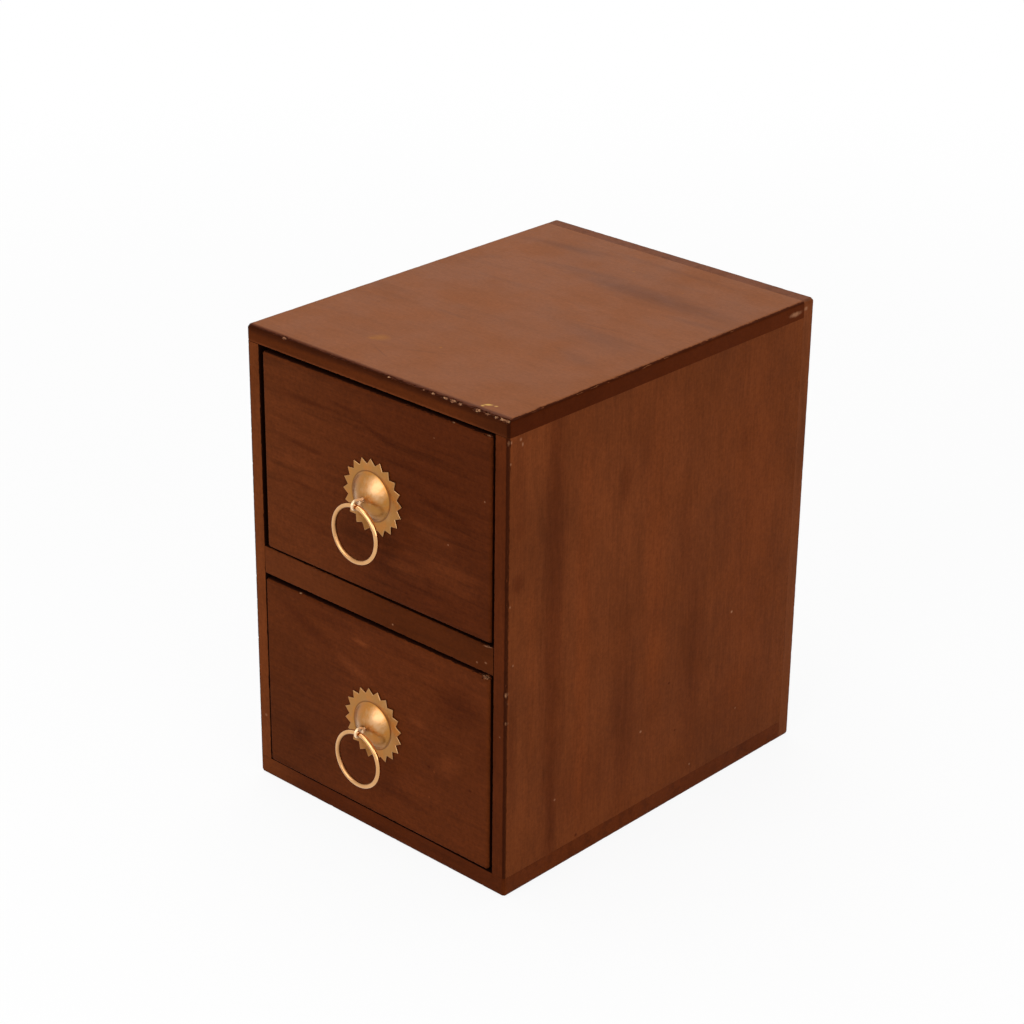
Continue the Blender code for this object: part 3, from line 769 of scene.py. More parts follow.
def bare_wood(name, grain):
    wood = Wood(name, grain, spread=0.35)
    height = wood.math("SUBTRACT", wood.times(wood.fine, 0.6), wood.pores)
    roughness = wood.band(wood.fine, 0.3, 0.7, 0.66, 0.78)
    normal = wood.bump(height, BARE_DEPTH, 0.6)
    return wood.finish(wood.figured(BARE_COLOUR), roughness, normal, Specular_IOR_Level=0.25)


# A brass finish: the colours of the metal, its patina, its rubbed places and painted highlights, its
# duller places and painted shade, then its roughness and how much patina, lacquer, dents and bare
# metal it has
Brass = namedtuple("Brass", "colour patina rubbed dull gloss patina_amount coat dents metallic")
ROSETTE_BRASS = Brass(
    srgb(168, 114, 52), srgb(184, 116, 44), srgb(192, 148, 104), srgb(84, 44, 16),
    0.29, 0.7, 0.2, 0.25, 1,
)
RING_BRASS = Brass(
    srgb(218, 164, 108), srgb(202, 146, 88), srgb(234, 194, 146), srgb(110, 62, 28),
    0.09, 0.4, 0.2, 0.06, 1,
)
# The eye's brass is paler and only half metal, so that its thin strands look as bright as a highlight: a
# painted highlight
EYE_BRASS_AND_HIGHLIGHT = Brass(
    srgb(244, 206, 160), srgb(232, 186, 134), srgb(250, 222, 182), srgb(120, 72, 36),
    0.30, 0.2, 0.4, 0.06, 0.5,
)
PATINA_SCALE = 200
SMEAR_SCALES = (150, 150, 105)
SCRATCH_SCALES = (900, 900, 5200)
SCRATCH_DEPTH = 0.00001
DENT_SCALE = 420
DENT_DEPTH = 0.00012
STEEL_SCALE = 900
STEEL_DARK = srgb(96, 88, 80)
STEEL_LIGHT = srgb(150, 146, 140)


def brass(name, finish):
    """Brass with patches of patina, rubbed places and painted highlights, fine scratches, and duller brass
    with painted shade where a piece marks it.
    """
    graph = Graph(name)
    patches = graph.noise(graph.place(), PATINA_SCALE, detail=4, roughness=0.55)
    patina = graph.band(patches, 0.46, 0.64, 0, finish.patina_amount)
    colour = graph.mix(patina, finish.colour, finish.patina)
    smears = graph.noise(graph.place(SMEAR_SCALES), detail=5, roughness=0.6)
    colour = graph.mix(graph.band(smears, 0.54, 0.70, 0, 0.2), colour, finish.rubbed)
    # Paler brass where a piece marks it: rubbed places, and painted highlights on the dome and the
    # rosette's edges
    colour = graph.mix(graph.attribute("polish"), colour, finish.rubbed)
    # Duller brass and painted shade in the rosette's crease and round its hole, and a painted reflection of
    # the dark front on the ring's inner side
    recess = graph.attribute("recess")
    colour = graph.mix(graph.times(recess, 0.8), colour, finish.dull)
    normal = graph.bump(graph.noise(graph.place(), DENT_SCALE), DENT_DEPTH, finish.dents)
    scratches = graph.noise(graph.place(SCRATCH_SCALES), detail=3, roughness=0.6)
    normal = graph.bump(scratches, SCRATCH_DEPTH, 0.3, normal)
    roughness = graph.band(patches, 0.35, 0.7, finish.gloss, finish.gloss + 0.12)
    return graph.finish(
        colour, graph.times_plus(recess, 0.3, roughness), normal,
        Metallic=finish.metallic, Coat_Weight=finish.coat, Coat_Roughness=0.18,
    )


def steel(name):
    graph = Graph(name)
    spots = graph.noise(graph.place(), STEEL_SCALE, detail=4)
    colour = graph.mix(graph.band(spots, 0.35, 0.65), STEEL_DARK, STEEL_LIGHT)
    return graph.finish(colour, graph.band(spots, 0.3, 0.7, 0.35, 0.55), Metallic=1)


def stations(low, high, step, low_radius, high_radius):
    """Places for grid lines from low to high, close together near a rounded end."""
    zone = ARRIS_SHARES[-1]
    start, end = low + zone * low_radius, high - zone * high_radius
    count = max(1, math.ceil((end - start) / step))
    even = [start + (end - start) * i / count for i in range(count + 1)]
    before = [low + share * low_radius for share in ARRIS_SHARES[:-1]] if low_radius else []
    after = [high - share * high_radius for share in ARRIS_SHARES[-2::-1]] if high_radius else []
    return before + even + after


def box_grid(places):
    """The surface of a box as points at the given stations of each axis, and its faces."""
    index, faces = {}, []
    for axis in range(3):
        u, v = [other for other in range(3) if other != axis]
        squares = list(product(range(len(places[u]) - 1), range(len(places[v]) - 1)))
        for end in (0, len(places[axis]) - 1):
            turned = (end == 0) != (axis == 1)
            for i, j in squares:
                corners = []
                for a, b in ((i, j), (i + 1, j), (i + 1, j + 1), (i, j + 1)):
                    key = [end, end, end]
                    key[u], key[v] = a, b
                    corners.append(index.setdefault(tuple(key), len(index)))
                faces.append(corners[::-1] if turned else corners)
    return np.array([[places[axis][key[axis]] for axis in range(3)] for key in index]), faces


def fractal(place, scale):
    """Rough noise round 0 at a place."""
    return noise.fractal(Vector(place) * scale, FRACTAL_INCREMENT, FRACTAL_LACUNARITY, FRACTAL_OCTAVES)


def clamped(value):
    return min(max(value, 0), 1)


def knock_cuts(points, distance, along, corners, line, knocks):
    """How deep the knocks in an arris cut each point, and how far each point lies within one."""
    depth, cover = np.zeros(len(points)), np.zeros(len(points))
    for knock in knocks:
        place = corners[0][line] + knock.along_share * (corners[1][line] - corners[0][line])
        away = np.hypot(distance, (along - place) / KNOCK_STRETCH)
        inside = np.clip(1 - away / (knock.reach_mm * MM), 0, 1)
        cover = np.maximum(cover, np.sqrt(inside))
        for i in np.flatnonzero(inside > 0):
            rough = clamped(0.5 + 1.6 * fractal(points[i], KNOCK_SCALE))
            depth[i] = max(depth[i], knock.depth_mm * MM * math.sqrt(inside[i]) * rough)
    return depth, cover


def chip_cuts(points, distance, wear):
    """How deep the small chips of a worn arris cut each point."""
    depth = np.zeros(len(points))
    for i in np.flatnonzero((distance < CHIP_REACH) & (wear > 0)):
        bite = clamped(2 * (fractal(points[i], CHIP_SCALE) - CHIP_THRESHOLD))
        depth[i] = bite * (1 - distance[i] / CHIP_REACH) * wear[i] * CHIP_DEPTH
    return depth


def depths_from(points, corners, faces):
    """The axes of an arris's two faces, the way in from it and each point's depth below both."""
    ends = [FACES[word] for word in faces.split()]
    inward = np.zeros(3)
    for axis, end in ends:
        inward[axis] = 1 - 2 * end
    depths = [(points[:, axis] - corners[end][axis]) * inward[axis] for axis, end in ends]
    return [axis for axis, end in ends], inward, depths


def round_arris(moved, axes, inward, depths, radius):
    """Moves the points near an arris onto its rounding."""
    inside = (depths[0] < radius) & (depths[1] < radius)
    gaps = [radius - depth[inside] for depth in depths]
    shrink = np.maximum(*gaps) / np.maximum(np.hypot(*gaps), TINY)
    for axis, gap in zip(axes, gaps):
        moved[inside, axis] += inward[axis] * gap * (1 - shrink)


def worn_points(points, corners, easings):
    """Rounds and chips the arrises of a box's points, and says how worn and chipped each is."""
    wear, chipped = np.zeros(len(points)), np.zeros(len(points))
    moved, bites = points.copy(), np.zeros_like(points)
    for easing in easings:
        axes, inward, depths = depths_from(points, corners, easing.faces)
        line = 3 - sum(axes)
        along, distance = points[:, line], np.hypot(*depths)
        share = (along - corners[0][line]) / (corners[1][line] - corners[0][line])
        local = easing.wear_start + (easing.wear_end - easing.wear_start) * share
        wear = np.maximum(wear, local * np.clip(1 - distance / WEAR_REACH, 0, 1))
        cut, cover = knock_cuts(points, distance, along, corners, line, easing.knocks)
        cut = np.maximum(cut, chip_cuts(points, distance, local))
        chipped = np.maximum(chipped, np.maximum(cover, CHIP_SHOWN * np.clip(cut / CHIP_DEPTH, 0, 1)))
        bites += np.outer(cut, inward)
        round_arris(moved, axes, inward, depths, easing.radius)
    return moved + bites, {"wear": wear, "chip": chipped}


def add_object(name, data):
    added = bpy.data.objects.new(name, data)
    bpy.context.scene.collection.objects.link(added)
    return added


def add_piece(name, points, faces, material, body, replaced, attributes):
    mesh = bpy.data.meshes.new(name)
    mesh.from_pydata([tuple(p) for p in points], [], faces)
    mesh.update()
    for title, values in attributes.items():
        layer = mesh.attributes.new(title, "FLOAT", "POINT")
        layer.data.foreach_set("value", np.asarray(values, np.float32))
    mesh.shade_smooth()
    mesh.set_sharp_from_angle(angle=math.radians(SMOOTH_ANGLE_DEG))
    mesh.materials.append(material)
    piece = add_object(name, mesh)
    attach(piece, body)
    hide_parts(replaced)
    return piece


def board_corners(node, closed=(), moves=(0, 0), drop=0):
    """A CAD board's corners: into its closed joints, its ends moved right, its underside lowered."""
    corners = [list(corner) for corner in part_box(node)]
    for word in closed:
        axis, end = FACES[word]
        corners[end][axis] += CLOSED_JOINT if end else -CLOSED_JOINT
    corners[0][0] += moves[0]
    corners[1][0] += moves[1]
    corners[0][2] -= drop
    return corners


def worn_board(node, corners, material, easings, steps, body="carcass", slot="stained_carcass", skew=0):
    """Replaces a CAD board by a box with rounded, chipped arrises, askew by so much at its ends."""
    radii = np.zeros((3, 2))
    for easing in easings:
        for word in easing.faces.split():
            radii[FACES[word]] = max(radii[FACES[word]], easing.radius)
    places = [stations(corners[0][axis], corners[1][axis], steps[axis], *radii[axis]) for axis in range(3)]
    points, faces = box_grid(places)
    points, attributes = worn_points(points, corners, easings)
    points[:, 2] += skew * points[:, 0] / corners[1][0]
    return add_piece(f"{node}_worn", points, faces, material, body, node, attributes)


def cut_piece(piece, cutters):
    """Cuts solids, given as (bmesh, matrix), out of a piece and keeps its attributes."""
    for bm, matrix in cutters:
        mesh = bpy.data.meshes.new("cutter")
        bm.transform(matrix)
        bm.to_mesh(mesh)
        bm.free()
        tool = add_object("cutter", mesh)
        modifier = piece.modifiers.new("cut", "BOOLEAN")
        modifier.operation = "DIFFERENCE"
        modifier.solver = "EXACT"
        modifier.object = tool
        depsgraph = bpy.context.evaluated_depsgraph_get()
        result = bpy.data.meshes.new_from_object(piece.evaluated_get(depsgraph))
        piece.modifiers.clear()
        piece.data = result
        bpy.data.objects.remove(tool)


def box_solid(low, high):
    bm = bmesh.new()
    bmesh.ops.create_cube(bm, size=1)
    low, high = Vector(low), Vector(high)
    bmesh.ops.scale(bm, vec=high - low, verts=bm.verts)
    return bm, Matrix.Translation((low + high) / 2)


def rod_solid(start, end, radius):
    start, end = Vector(start), Vector(end)
    length = (end - start).length
    bm = bmesh.new()
    bmesh.ops.create_cone(
        bm, cap_ends=True, segments=ROD_SEGMENTS, radius1=radius, radius2=radius, depth=length
    )
    turn = (end - start).to_track_quat("Z", "Y").to_matrix().to_4x4()
    return bm, Matrix.Translation((start + end) / 2) @ turn


TOP_EASINGS = (
    Easing("front top", OUTER_ARRIS, 0.3, 1, TOP_KNOCKS),
    Easing("left top", OUTER_ARRIS, 0.3, 0.3),
    Easing("right top", OUTER_ARRIS, 0.7, 0.4),
    Easing("front left", OUTER_ARRIS, 0.3, 0.4),
    Easing("front right", OUTER_ARRIS, 0.25, 0.4),
    Easing("front bottom", INNER_ARRIS, 0.2, 0.3),
)
BOTTOM_EASINGS = (
    Easing("front bottom", OUTER_ARRIS, 0.4, 0.6),
    Easing("left bottom", OUTER_ARRIS, 0.4, 0.4),
    Easing("right bottom", OUTER_ARRIS, 0.6, 0.4),
    Easing("front left", OUTER_ARRIS, 0.4, 0.4),
    Easing("front right", OUTER_ARRIS, 0.6, 0.6),
)
RAIL_EASINGS = (Easing("front top", INNER_ARRIS, 0.4, 0.5), Easing("front bottom", INNER_ARRIS, 0.3, 0.3))


def depth_easings(radius):
    """The four arrises that run from front to back."""
    pairs = product(("left", "right"), ("top", "bottom"))
    return [Easing(f"{side} {end}", radius, 0.5, 0.5) for side, end in pairs]


def make_carcass():
    """The top and bottom, the uprights between them, the back over all four, and the rail."""
    top = board_corners("top_board", ["back"])
    steps = (FINE_STEP, MIDDLE_STEP, COARSE_STEP)
    worn_board("top_board", top, top_wood(), TOP_EASINGS, steps, slot="stained_top")
    bottom = board_corners("bottom_board", ["back"])
    worn_board("bottom_board", bottom, bottom_wood(), BOTTOM_EASINGS, (2 * FINE_STEP, *steps[1:]))
    make_upright("left", "right", LEFT_EDGE, LEFT_EDGE_CHIPS, ())
    make_upright("right", "left", RIGHT_EDGE, RIGHT_EDGE_CHIPS, SIDE_KNOCKS)
    make_back()
    rail = board_corners("divider_rail", ["left", "right"])
    worn_board("divider_rail", rail, rail_wood(), RAIL_EASINGS, (FINE_STEP, COARSE_STEP, COARSE_STEP))


def make_upright(outer, inner, edge_colour, chips, knocks):
    node = f"{outer}_side"
    easings = (
        Easing(f"front {outer}", OUTER_ARRIS, 0.35, 0.5, knocks),
        Easing(f"front {inner}", INNER_ARRIS, 0.3, 0.3),
    )
    corners = board_corners(node, ["top", "bottom", "back"])
    wood = upright_wood(node, outer, inner, edge_colour, chips)
    worn_board(node, corners, wood, easings, (FINE_STEP, COARSE_STEP, FINE_STEP))


def make_back():
    easings = [Easing(f"back {side}", OUTER_ARRIS, 0.4, 0.4) for side in ("top", "bottom", "left", "right")]
    easings += depth_easings(OUTER_ARRIS)
    steps = (MIDDLE_STEP, COARSE_STEP, MIDDLE_STEP)
    back = worn_board("back_panel", board_corners("back_panel"), back_wood(), easings, steps)
    cut_piece(back, [pin_hole(node) for node in frame["nodes"] if node.startswith("back_pin")])


def pin_hole(node):
    """A hole round the end of a panel pin."""
    low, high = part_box(node)
    middle = (low + high) / 2
    radius = (high.x - low.x) / 2 + JOINT_GAP
    return rod_solid((middle.x, high.y - radius, middle.z), (middle.x, high.y + radius, middle.z), radius)


def make_drawer_front(level):
    look = FRONT_LOOKS[level]
    node = f"{level}_drawer_front"
    easings = [
        Easing("front top", FRONT_ARRIS, 0.1, 0.45, look.knocks),
        Easing("front bottom", look.snug_arris, 0.2, 0.3),
        Easing("front left", look.snug_arris, 0.2, 0.2),
        Easing("front right", FRONT_ARRIS, 0.2, 0.4),
        *depth_easings(FRONT_ARRIS),
    ]
    corners = board_corners(node, moves=look.end_moves, drop=look.drop)
    steps = (FINE_STEP, COARSE_STEP, FINE_STEP)
    place = (f"{level}_drawer", "stained_fronts", FRONT_SKEW)
    front = worn_board(node, corners, drawer_wood(level), easings, steps, *place)
    cut_piece(front, front_cutters(level, *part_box(node)))


def front_cutters(level, low, high):
    """What is cut from a front: rebates for the sides, a groove for the floor and the pin's bore."""
    lip, over = low.y + FRONT_LIP, FRONT_LIP
    left, right = low.x + REBATE_WIDTH, high.x - REBATE_WIDTH
    floor_low, floor_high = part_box(f"{level}_drawer_floor")
    mouth = pin_mouth(level)
    outer_end, inner_end = Vector((0, over, 0)), Vector((0, high.y - low.y + over, 0))
    return [
        box_solid((low.x - over, lip, low.z - over), (left, high.y + over, high.z + over)),
        box_solid((right, lip, low.z - over), (high.x + over, high.y + over, high.z + over)),
        box_solid(
            (low.x - over, floor_low.y - JOINT_GAP, floor_low.z - JOINT_GAP),
            (high.x + over, high.y + over, floor_high.z + JOINT_GAP),
        ),
        rod_solid(mouth - outer_end, mouth + inner_end, PIN_BORE_RADIUS),
    ]


def pin_mouth(level):
    """Where the split pin enters the drawer's front."""
    low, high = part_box(f"{level}_split_pin")
    return Vector(((low.x + high.x) / 2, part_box(f"{level}_drawer_front")[0].y, (low.z + high.z) / 2))


def ray(angle):
    return Vector((math.cos(angle), math.sin(angle)))


def front_ray(angle):
    """The same in the plane of the drawers' fronts."""
    return Vector((math.cos(angle), 0, math.sin(angle)))


def tooth_outline(angle, turn):
    """The radius of the saw-toothed edge at an angle: straight flanks between tips and valleys."""
    pitch = math.tau / TEETH
    from_tip = ray(abs((angle - turn + pitch / 2) % pitch - pitch / 2))
    tip = Vector((FLANGE_RADIUS + TOOTH_LENGTH, 0))
    flank = FLANGE_RADIUS * ray(pitch / 2) - tip
    return (tip.x * flank.y - tip.y * flank.x) / (from_tip.x * flank.y - from_tip.y * flank.x)


def dome_height(radius):
    sphere = (DOME_RADIUS**2 + DOME_RISE**2) / (2 * DOME_RISE)
    return math.sqrt(sphere**2 - radius**2) - (sphere - DOME_RISE)


# A pale place on a dome: its centre and reach as shares of the dome's radius, and how pale. The
# first is a painted highlight, the second a painted reflection on the left, the third a rubbed place
Rub = namedtuple("Rub", "across_share up_share reach_share amount")
RUBS_AND_HIGHLIGHTS = (
    Rub(0.50, 0.50, 0.46, 0.9),
    Rub(-0.64, -0.18, 0.30, 1),
    Rub(0.10, -0.60, 0.20, 0.5),
)
RUB_SCALE = 330


def rubbed(across, up):
    """How pale the dome is painted at a place beside and above its middle: a painted highlight, a painted
    reflection and a rubbed place.
    """
    cloud = fractal((across, 0, up), RUB_SCALE)
    amount = 0
    for rub in RUBS_AND_HIGHLIGHTS:
        away = math.hypot(across / DOME_RADIUS - rub.across_share, up / DOME_RADIUS - rub.up_share)
        amount = max(amount, rub.amount * clamped(1.4 - away / rub.reach_share + 0.6 * cloud))
    return amount


# One loop of the rosette's sheet: its radius round the dome, the share of the way from
# there to the teeth, its height and how much duller brass and painted shade it has
SheetLoop = namedtuple("SheetLoop", "radius share height recess")


def sheet_loops():
    """The front of the pressed sheet, from the hole to the teeth."""
    loops = []
    for i in range(DOME_ROWS + 1):
        radius = DOME_HOLE_RADIUS + (DOME_RADIUS - DOME_HOLE_RADIUS) * i / DOME_ROWS
        # Duller brass and painted shade round the hole
        recess = 0.5 * math.exp(-(radius - DOME_HOLE_RADIUS) / CREASE_WIDTH)
        loops.append(SheetLoop(radius, 0, dome_height(radius), recess))
    # Duller brass and painted shade in the crease round the dome
    for share in (0.25, 0.5, 0.75, 1):
        dip = math.sin(math.pi * share)
        loops.append(SheetLoop(DOME_RADIUS + CREASE_WIDTH * share, 0, -CREASE_DEPTH * dip, 0.7 * dip))
    for share in (0.3, 0.6, 0.85, 1):
        loops.append(SheetLoop(DOME_RADIUS + CREASE_WIDTH, share, 0, 0))
    return loops


class Sheet:
    """The points of one rosette, added ring by ring, with the duller brass and painted shade and the paler
    brass and painted highlights of each.
    """

    def __init__(self, level, turn):
        low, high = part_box(f"{level}_rosette")
        self.flange = (low + high) / 2
        self.wood = high.y
        self.mouth = pin_mouth(level)
        self.turn = turn
        self.points, self.recess, self.polish, self.rings = [], [], [], []

    def place(self, loop, angle, inset):
        """Where a loop lies at an angle, as seen from the front."""
        inner = Vector((self.mouth.x, 0, self.mouth.z)) + loop.radius * front_ray(angle)
        edge = tooth_outline(angle, self.turn) - inset
        place = inner.lerp(Vector((self.flange.x, 0, self.flange.z)) + edge * front_ray(angle), loop.share)
        squeeze = DOME_HOLE_SQUEEZE * math.exp((DOME_HOLE_RADIUS - loop.radius) / CREASE_WIDTH)
        place.x -= squeeze * (place.x - self.mouth.x)
        return place

    def add_ring(self, loop, lift, inset=0, edge_highlight=0):
        """Adds a ring of points that stands off the wood by the lift and the loop's height."""
        height = loop.height if lift else max(loop.height, 0)
        first = len(self.points)
        for column in range(SHEET_COLUMNS):
            place = self.place(loop, self.turn + math.tau * column / SHEET_COLUMNS, inset)
            domed = loop.radius < DOME_RADIUS
            polish = rubbed(place.x - self.mouth.x, place.z - self.mouth.z) if domed else edge_highlight
            self.points.append((place.x, self.wood - lift - height, place.z))
            self.recess.append(loop.recess)
            self.polish.append(polish)
        self.rings.append(range(first, len(self.points)))

    def faces(self):
        """Quads between each ring and the next one, and between the last and the first."""
        faces = []
        for first, second in zip(self.rings, self.rings[1:] + self.rings[:1]):
            for i in range(SHEET_COLUMNS):
                faces.append((first[i - 1], first[i], second[i], second[i - 1]))
        return faces


def make_rosette(level, material, turn):
    """A pressed sheet: a dome inside a crease, and a flange with bevelled saw teeth."""
    sheet = Sheet(level, turn)
    loops = sheet_loops()
    for loop in loops[:-1]:
        sheet.add_ring(loop, SHEET_THICKNESS)
    # The sheet's bevelled edge is paler brass: a painted highlight for the light it catches
    sheet.add_ring(loops[-1], SHEET_THICKNESS, SHEET_BEVEL, 0.4)
    sheet.add_ring(loops[-1], SHEET_THICKNESS - SHEET_BEVEL, 0, 1)
    for loop in reversed(loops):
        sheet.add_ring(loop, 0)
    attributes = {"recess": sheet.recess, "polish": sheet.polish}
    name, body, node = f"{level}_rosette_pressed", f"{level}_drawer", f"{level}_rosette"
    add_piece(name, sheet.points, sheet.faces(), material, body, node, attributes)


def swept(frames, section, closed):
    """Points and faces of a section carried along frames of (origin, across, outward)."""
    points, faces = [], []
    for origin, across, outward in frames:
        points += [origin + a * across + b * outward for a, b in section]
    size, count = len(section), len(frames)
    for i in range(count if closed else count - 1):
        first, second = i * size, (i + 1) % count * size
        for j in range(size):
            k = (j + 1) % size
            faces.append((first + j, first + k, second + k, second + j))
    if not closed:
        faces.append(tuple(range(size))[::-1])
        faces.append(tuple(range((count - 1) * size, count * size)))
    return points, faces


def add_wire(node, swept_wire, material, body, shade_values):
    points, faces = swept_wire
    attributes = {"recess": shade_values, "polish": np.zeros(len(points))}
    add_piece(f"{node}_wire", points, faces, material, body, node, attributes)


def make_ring(level, material):
    """The ring, lowered a little so that it rests in the eye."""
    node = f"{level}_ring"
    low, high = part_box(node)
    centre = (low + high) / 2 - Vector((0, 0, RING_SETTLE))
    frames = []
    for i in range(RING_COLUMNS):
        outward = front_ray(math.tau * i / RING_COLUMNS)
        frames.append((centre + RING_RADIUS * outward, Vector((0, 1, 0)), outward))
    section, shade_values = [], []
    for i in range(RING_ROWS):
        angle = math.tau * i / RING_ROWS
        section.append((RING_WIRE_RADIUS * math.cos(angle), RING_WIRE_RADIUS * math.sin(angle)))
        # The inner half of the wire is painted darker: a painted reflection of the dark front
        shade_values.append(RING_DARK_REFLECTION * max(-math.sin(angle), 0) ** 2)
    add_wire(node, swept(frames, section, True), material, node, shade_values * RING_COLUMNS)


def rounded(before, corner, after, radius, steps=8):
    """The corner of a line as an arc of this radius."""
    back = (before - corner).normalized()
    ahead = (after - corner).normalized()
    half = back.angle(ahead) / 2
    start = corner + back * radius / math.tan(half)
    centre = corner + (back + ahead).normalized() * radius / math.sin(half)
    turn = (math.pi - 2 * half) * math.copysign(1, back.cross(ahead))
    return [centre + Matrix.Rotation(-turn * i / steps, 2) @ (start - centre) for i in range(steps + 1)]


def pin_half(side, eye, line_radius, parting, inside):
    """The upper (1) or lower (-1) half of the wire up to the eye, and where on the eye it ends."""
    leg_height = (LEG_GAP + WIRE_THICKNESS) / 2
    tip = Vector((inside, side * (leg_height + LEG_LENGTH)))
    heel = Vector((inside, side * leg_height))
    neck = Vector((parting, side * leg_height))
    to_eye = eye - neck
    reach = to_eye.length
    angle = math.atan2(to_eye.y, to_eye.x) + side * math.asin(line_radius / reach)
    touch = neck + math.sqrt(reach**2 - line_radius**2) * ray(angle)
    bends = rounded(tip, heel, neck, LEG_BEND) + rounded(heel, neck, touch, NECK_BEND)
    return [tip, *bends], math.atan2(touch.y - eye.y, touch.x - eye.x)


def split_pin_line(level, mouth):
    """The middle of the wire from leg to leg, as points out from the bore's mouth and up."""
    pivot = next(j for j in frame["joints"] if j["name"] == f"{level}_ring_swing")["pos_m"]
    eye = Vector((mouth.y - pivot[1], pivot[2] + RING_DROP - mouth.z))
    line_radius = EYE_INNER_RADIUS + WIRE_THICKNESS / 2 - EYE_TRIM
    apex = mouth.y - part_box(f"{level}_rosette")[0].y
    parting = apex + NECK_CLOSED_SHARE * (eye.x - line_radius - apex)
    inside = mouth.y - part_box(f"{level}_split_pin")[1].y + WIRE_THICKNESS / 2
    upper, start = pin_half(1, eye, line_radius, parting, inside)
    lower, end = pin_half(-1, eye, line_radius, parting, inside)
    angles = [start + (end - start) * i / EYE_STEPS for i in range(EYE_STEPS + 1)]
    return upper + [eye + line_radius * ray(angle) for angle in angles] + lower[::-1]


def make_split_pin(level, material):
    """Half-round wire with its flat side towards the eye."""
    mouth = pin_mouth(level)
    line = split_pin_line(level, mouth)
    frames = []
    for i, point in enumerate(line):
        along = (line[min(i + 1, len(line) - 1)] - line[max(i - 1, 0)]).normalized()
        outward = Vector((0, along.y, along.x))
        frames.append((mouth + Vector((0, -point.x, point.y)), Vector((1, 0, 0)), outward))
    section = []
    for i in range(WIRE_STEPS + 1):
        angle = math.pi * i / WIRE_STEPS
        section.append((WIRE_WIDTH / 2 * math.cos(angle), WIRE_THICKNESS * (math.sin(angle) - 1 / 2)))
    no_shade = np.zeros(len(frames) * len(section))
    add_wire(f"{level}_split_pin", swept(frames, section, False), material, f"{level}_drawer", no_shade)


def finish_hidden_pieces():
    """Bare wood and steel for the CAD pieces that stay as they are."""
    woods = {axis: bare_wood(f"bare_wood_{axis}", axis) for axis in "XY"}
    pins = steel("pin_steel")
    for name, piece in frame["nodes"].items():
        if piece.hide_render:
            continue
        if "_pin_" in name:
            finish = pins
        elif name.endswith("_back"):
            finish = woods["X"]
        else:
            finish = woods["Y"]
        piece.data.materials.clear()
        piece.data.materials.append(finish)


def seen_directly(nodes, links):
    """1 for camera, glossy and transmission rays, 0 for the light that falls on things."""
    rays = nodes.new("ShaderNodeLightPath")
    seen = rays.outputs["Is Camera Ray"]
    for name in ("Is Glossy Ray", "Is Transmission Ray"):
        either = nodes.new("ShaderNodeMath")
        either.operation = "MAXIMUM"
        links.new(seen, either.inputs[0])
        links.new(rays.outputs[name], either.inputs[1])
        seen = either.outputs[0]
    return seen


def floor_white():
    """White that keeps a soft shadow round the chest."""
    graph = Graph("floor_white")
    graph.finish((FLOOR_WHITENESS,) * 3, FLOOR_ROUGHNESS, Specular_IOR_Level=0)
    glowing = graph.band(graph.length(graph.position), FLOOR_FADE_START, FLOOR_FADE_END, FLOOR_GLOW, 1)
    share = graph.times(seen_directly(graph.nodes, graph.links), glowing)
    glow = graph.add("Emission", {}).outputs[0]
    blend = graph.add("MixShader", {0: share, 1: graph.shader.outputs[0], 2: glow})
    graph.links.new(blend.outputs[0], graph.nodes["Material Output"].inputs["Surface"])
    return graph.material


def make_floor():
    """The large pale square that the chest stands on."""
    mesh = bpy.data.meshes.new("floor")
    half = FLOOR_SIZE / 2
    corners = ((-half, -half), (half, -half), (half, half), (-half, half))
    mesh.from_pydata([(x, y, -FLOOR_DROP) for x, y in corners], [], [(0, 1, 2, 3)])
    floor = add_object("floor", mesh)
    mesh.materials.append(floor_white())


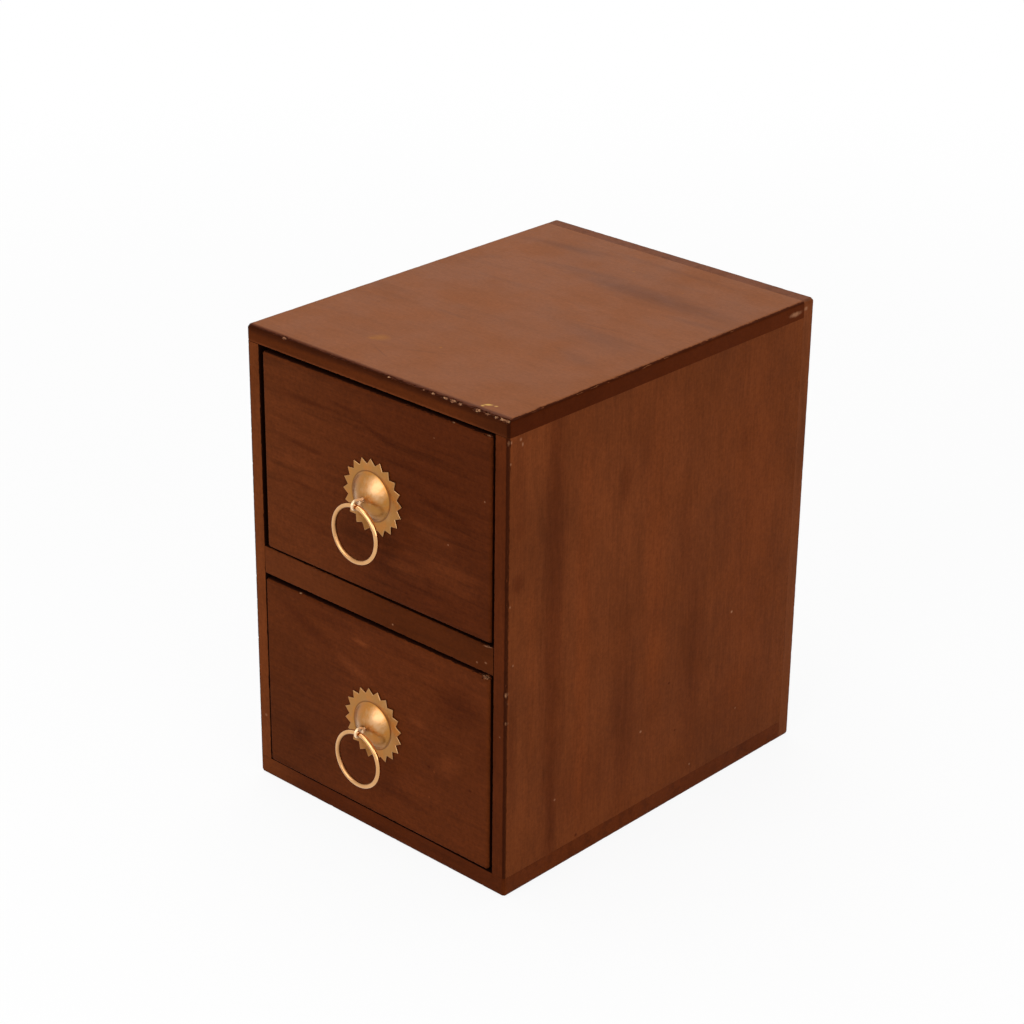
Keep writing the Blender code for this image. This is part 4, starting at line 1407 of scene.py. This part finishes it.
def make_surroundings():
    """White all round to the eye and in reflections, and a plain even light on things."""
    world = bpy.data.worlds.new("surroundings")
    bpy.context.scene.world = world
    world.use_nodes = True
    nodes, links = world.node_tree.nodes, world.node_tree.links
    strength = nodes.new("ShaderNodeMapRange")
    links.new(seen_directly(nodes, links), strength.inputs[0])
    strength.inputs["To Min"].default_value = AMBIENT_STRENGTH
    background = nodes["Background"]
    background.inputs["Color"].default_value = (1, 1, 1, 1)
    links.new(strength.outputs[0], background.inputs["Strength"])


def make_lamps():
    for lamp in LAMPS:
        data = bpy.data.lights.new(lamp.name, "AREA")
        data.shape = "SQUARE"
        data.size = lamp.size
        data.energy = lamp.watts
        light = add_object(lamp.name, data)
        light.location = lamp.place
        light.rotation_mode = "QUATERNION"
        light.rotation_quaternion = (LAMP_AIM - Vector(lamp.place)).to_track_quat("-Z", "Y")


def make_camera():
    azimuth = math.radians(CAMERA_AZIMUTH_DEG)
    elevation = math.radians(CAMERA_ELEVATION_DEG)
    level = math.cos(elevation)
    back = Vector((math.sin(azimuth) * level, -math.cos(azimuth) * level, math.sin(elevation)))
    across = Vector((0, 0, 1)).cross(back).normalized()
    up = back.cross(across)
    turn = Matrix((across, up, back)).transposed() @ Matrix.Rotation(math.radians(CAMERA_ROLL_DEG), 3, "Z")
    data = bpy.data.cameras.new("camera")
    data.lens = CAMERA_LENS_MM
    data.sensor_width = CAMERA_SENSOR_MM
    data.clip_start = CLIP_START
    data.clip_end = CLIP_END
    camera = add_object("camera", data)
    camera.rotation_mode = "QUATERNION"
    camera.rotation_quaternion = turn.to_quaternion()
    camera.location = CAMERA_TARGET + CAMERA_DISTANCE * back
    bpy.context.scene.camera = camera


def make_pulls():
    rosette_brass = brass("rosette_brass", ROSETTE_BRASS)
    ring_brass = brass("ring_brass", RING_BRASS)
    eye_brass_and_highlight = brass("eye_brass_and_highlight", EYE_BRASS_AND_HIGHLIGHT)
    for level, tooth_turn_deg in TOOTH_TURNS_DEG.items():
        make_rosette(level, rosette_brass, math.radians(tooth_turn_deg))
        make_split_pin(level, eye_brass_and_highlight)
        make_ring(level, ring_brass)


make_camera()
make_floor()
make_surroundings()
make_lamps()
make_carcass()
make_drawer_front("upper")
make_drawer_front("lower")
make_pulls()
finish_hidden_pieces()
bpy.context.scene.view_settings.view_transform = "Standard"
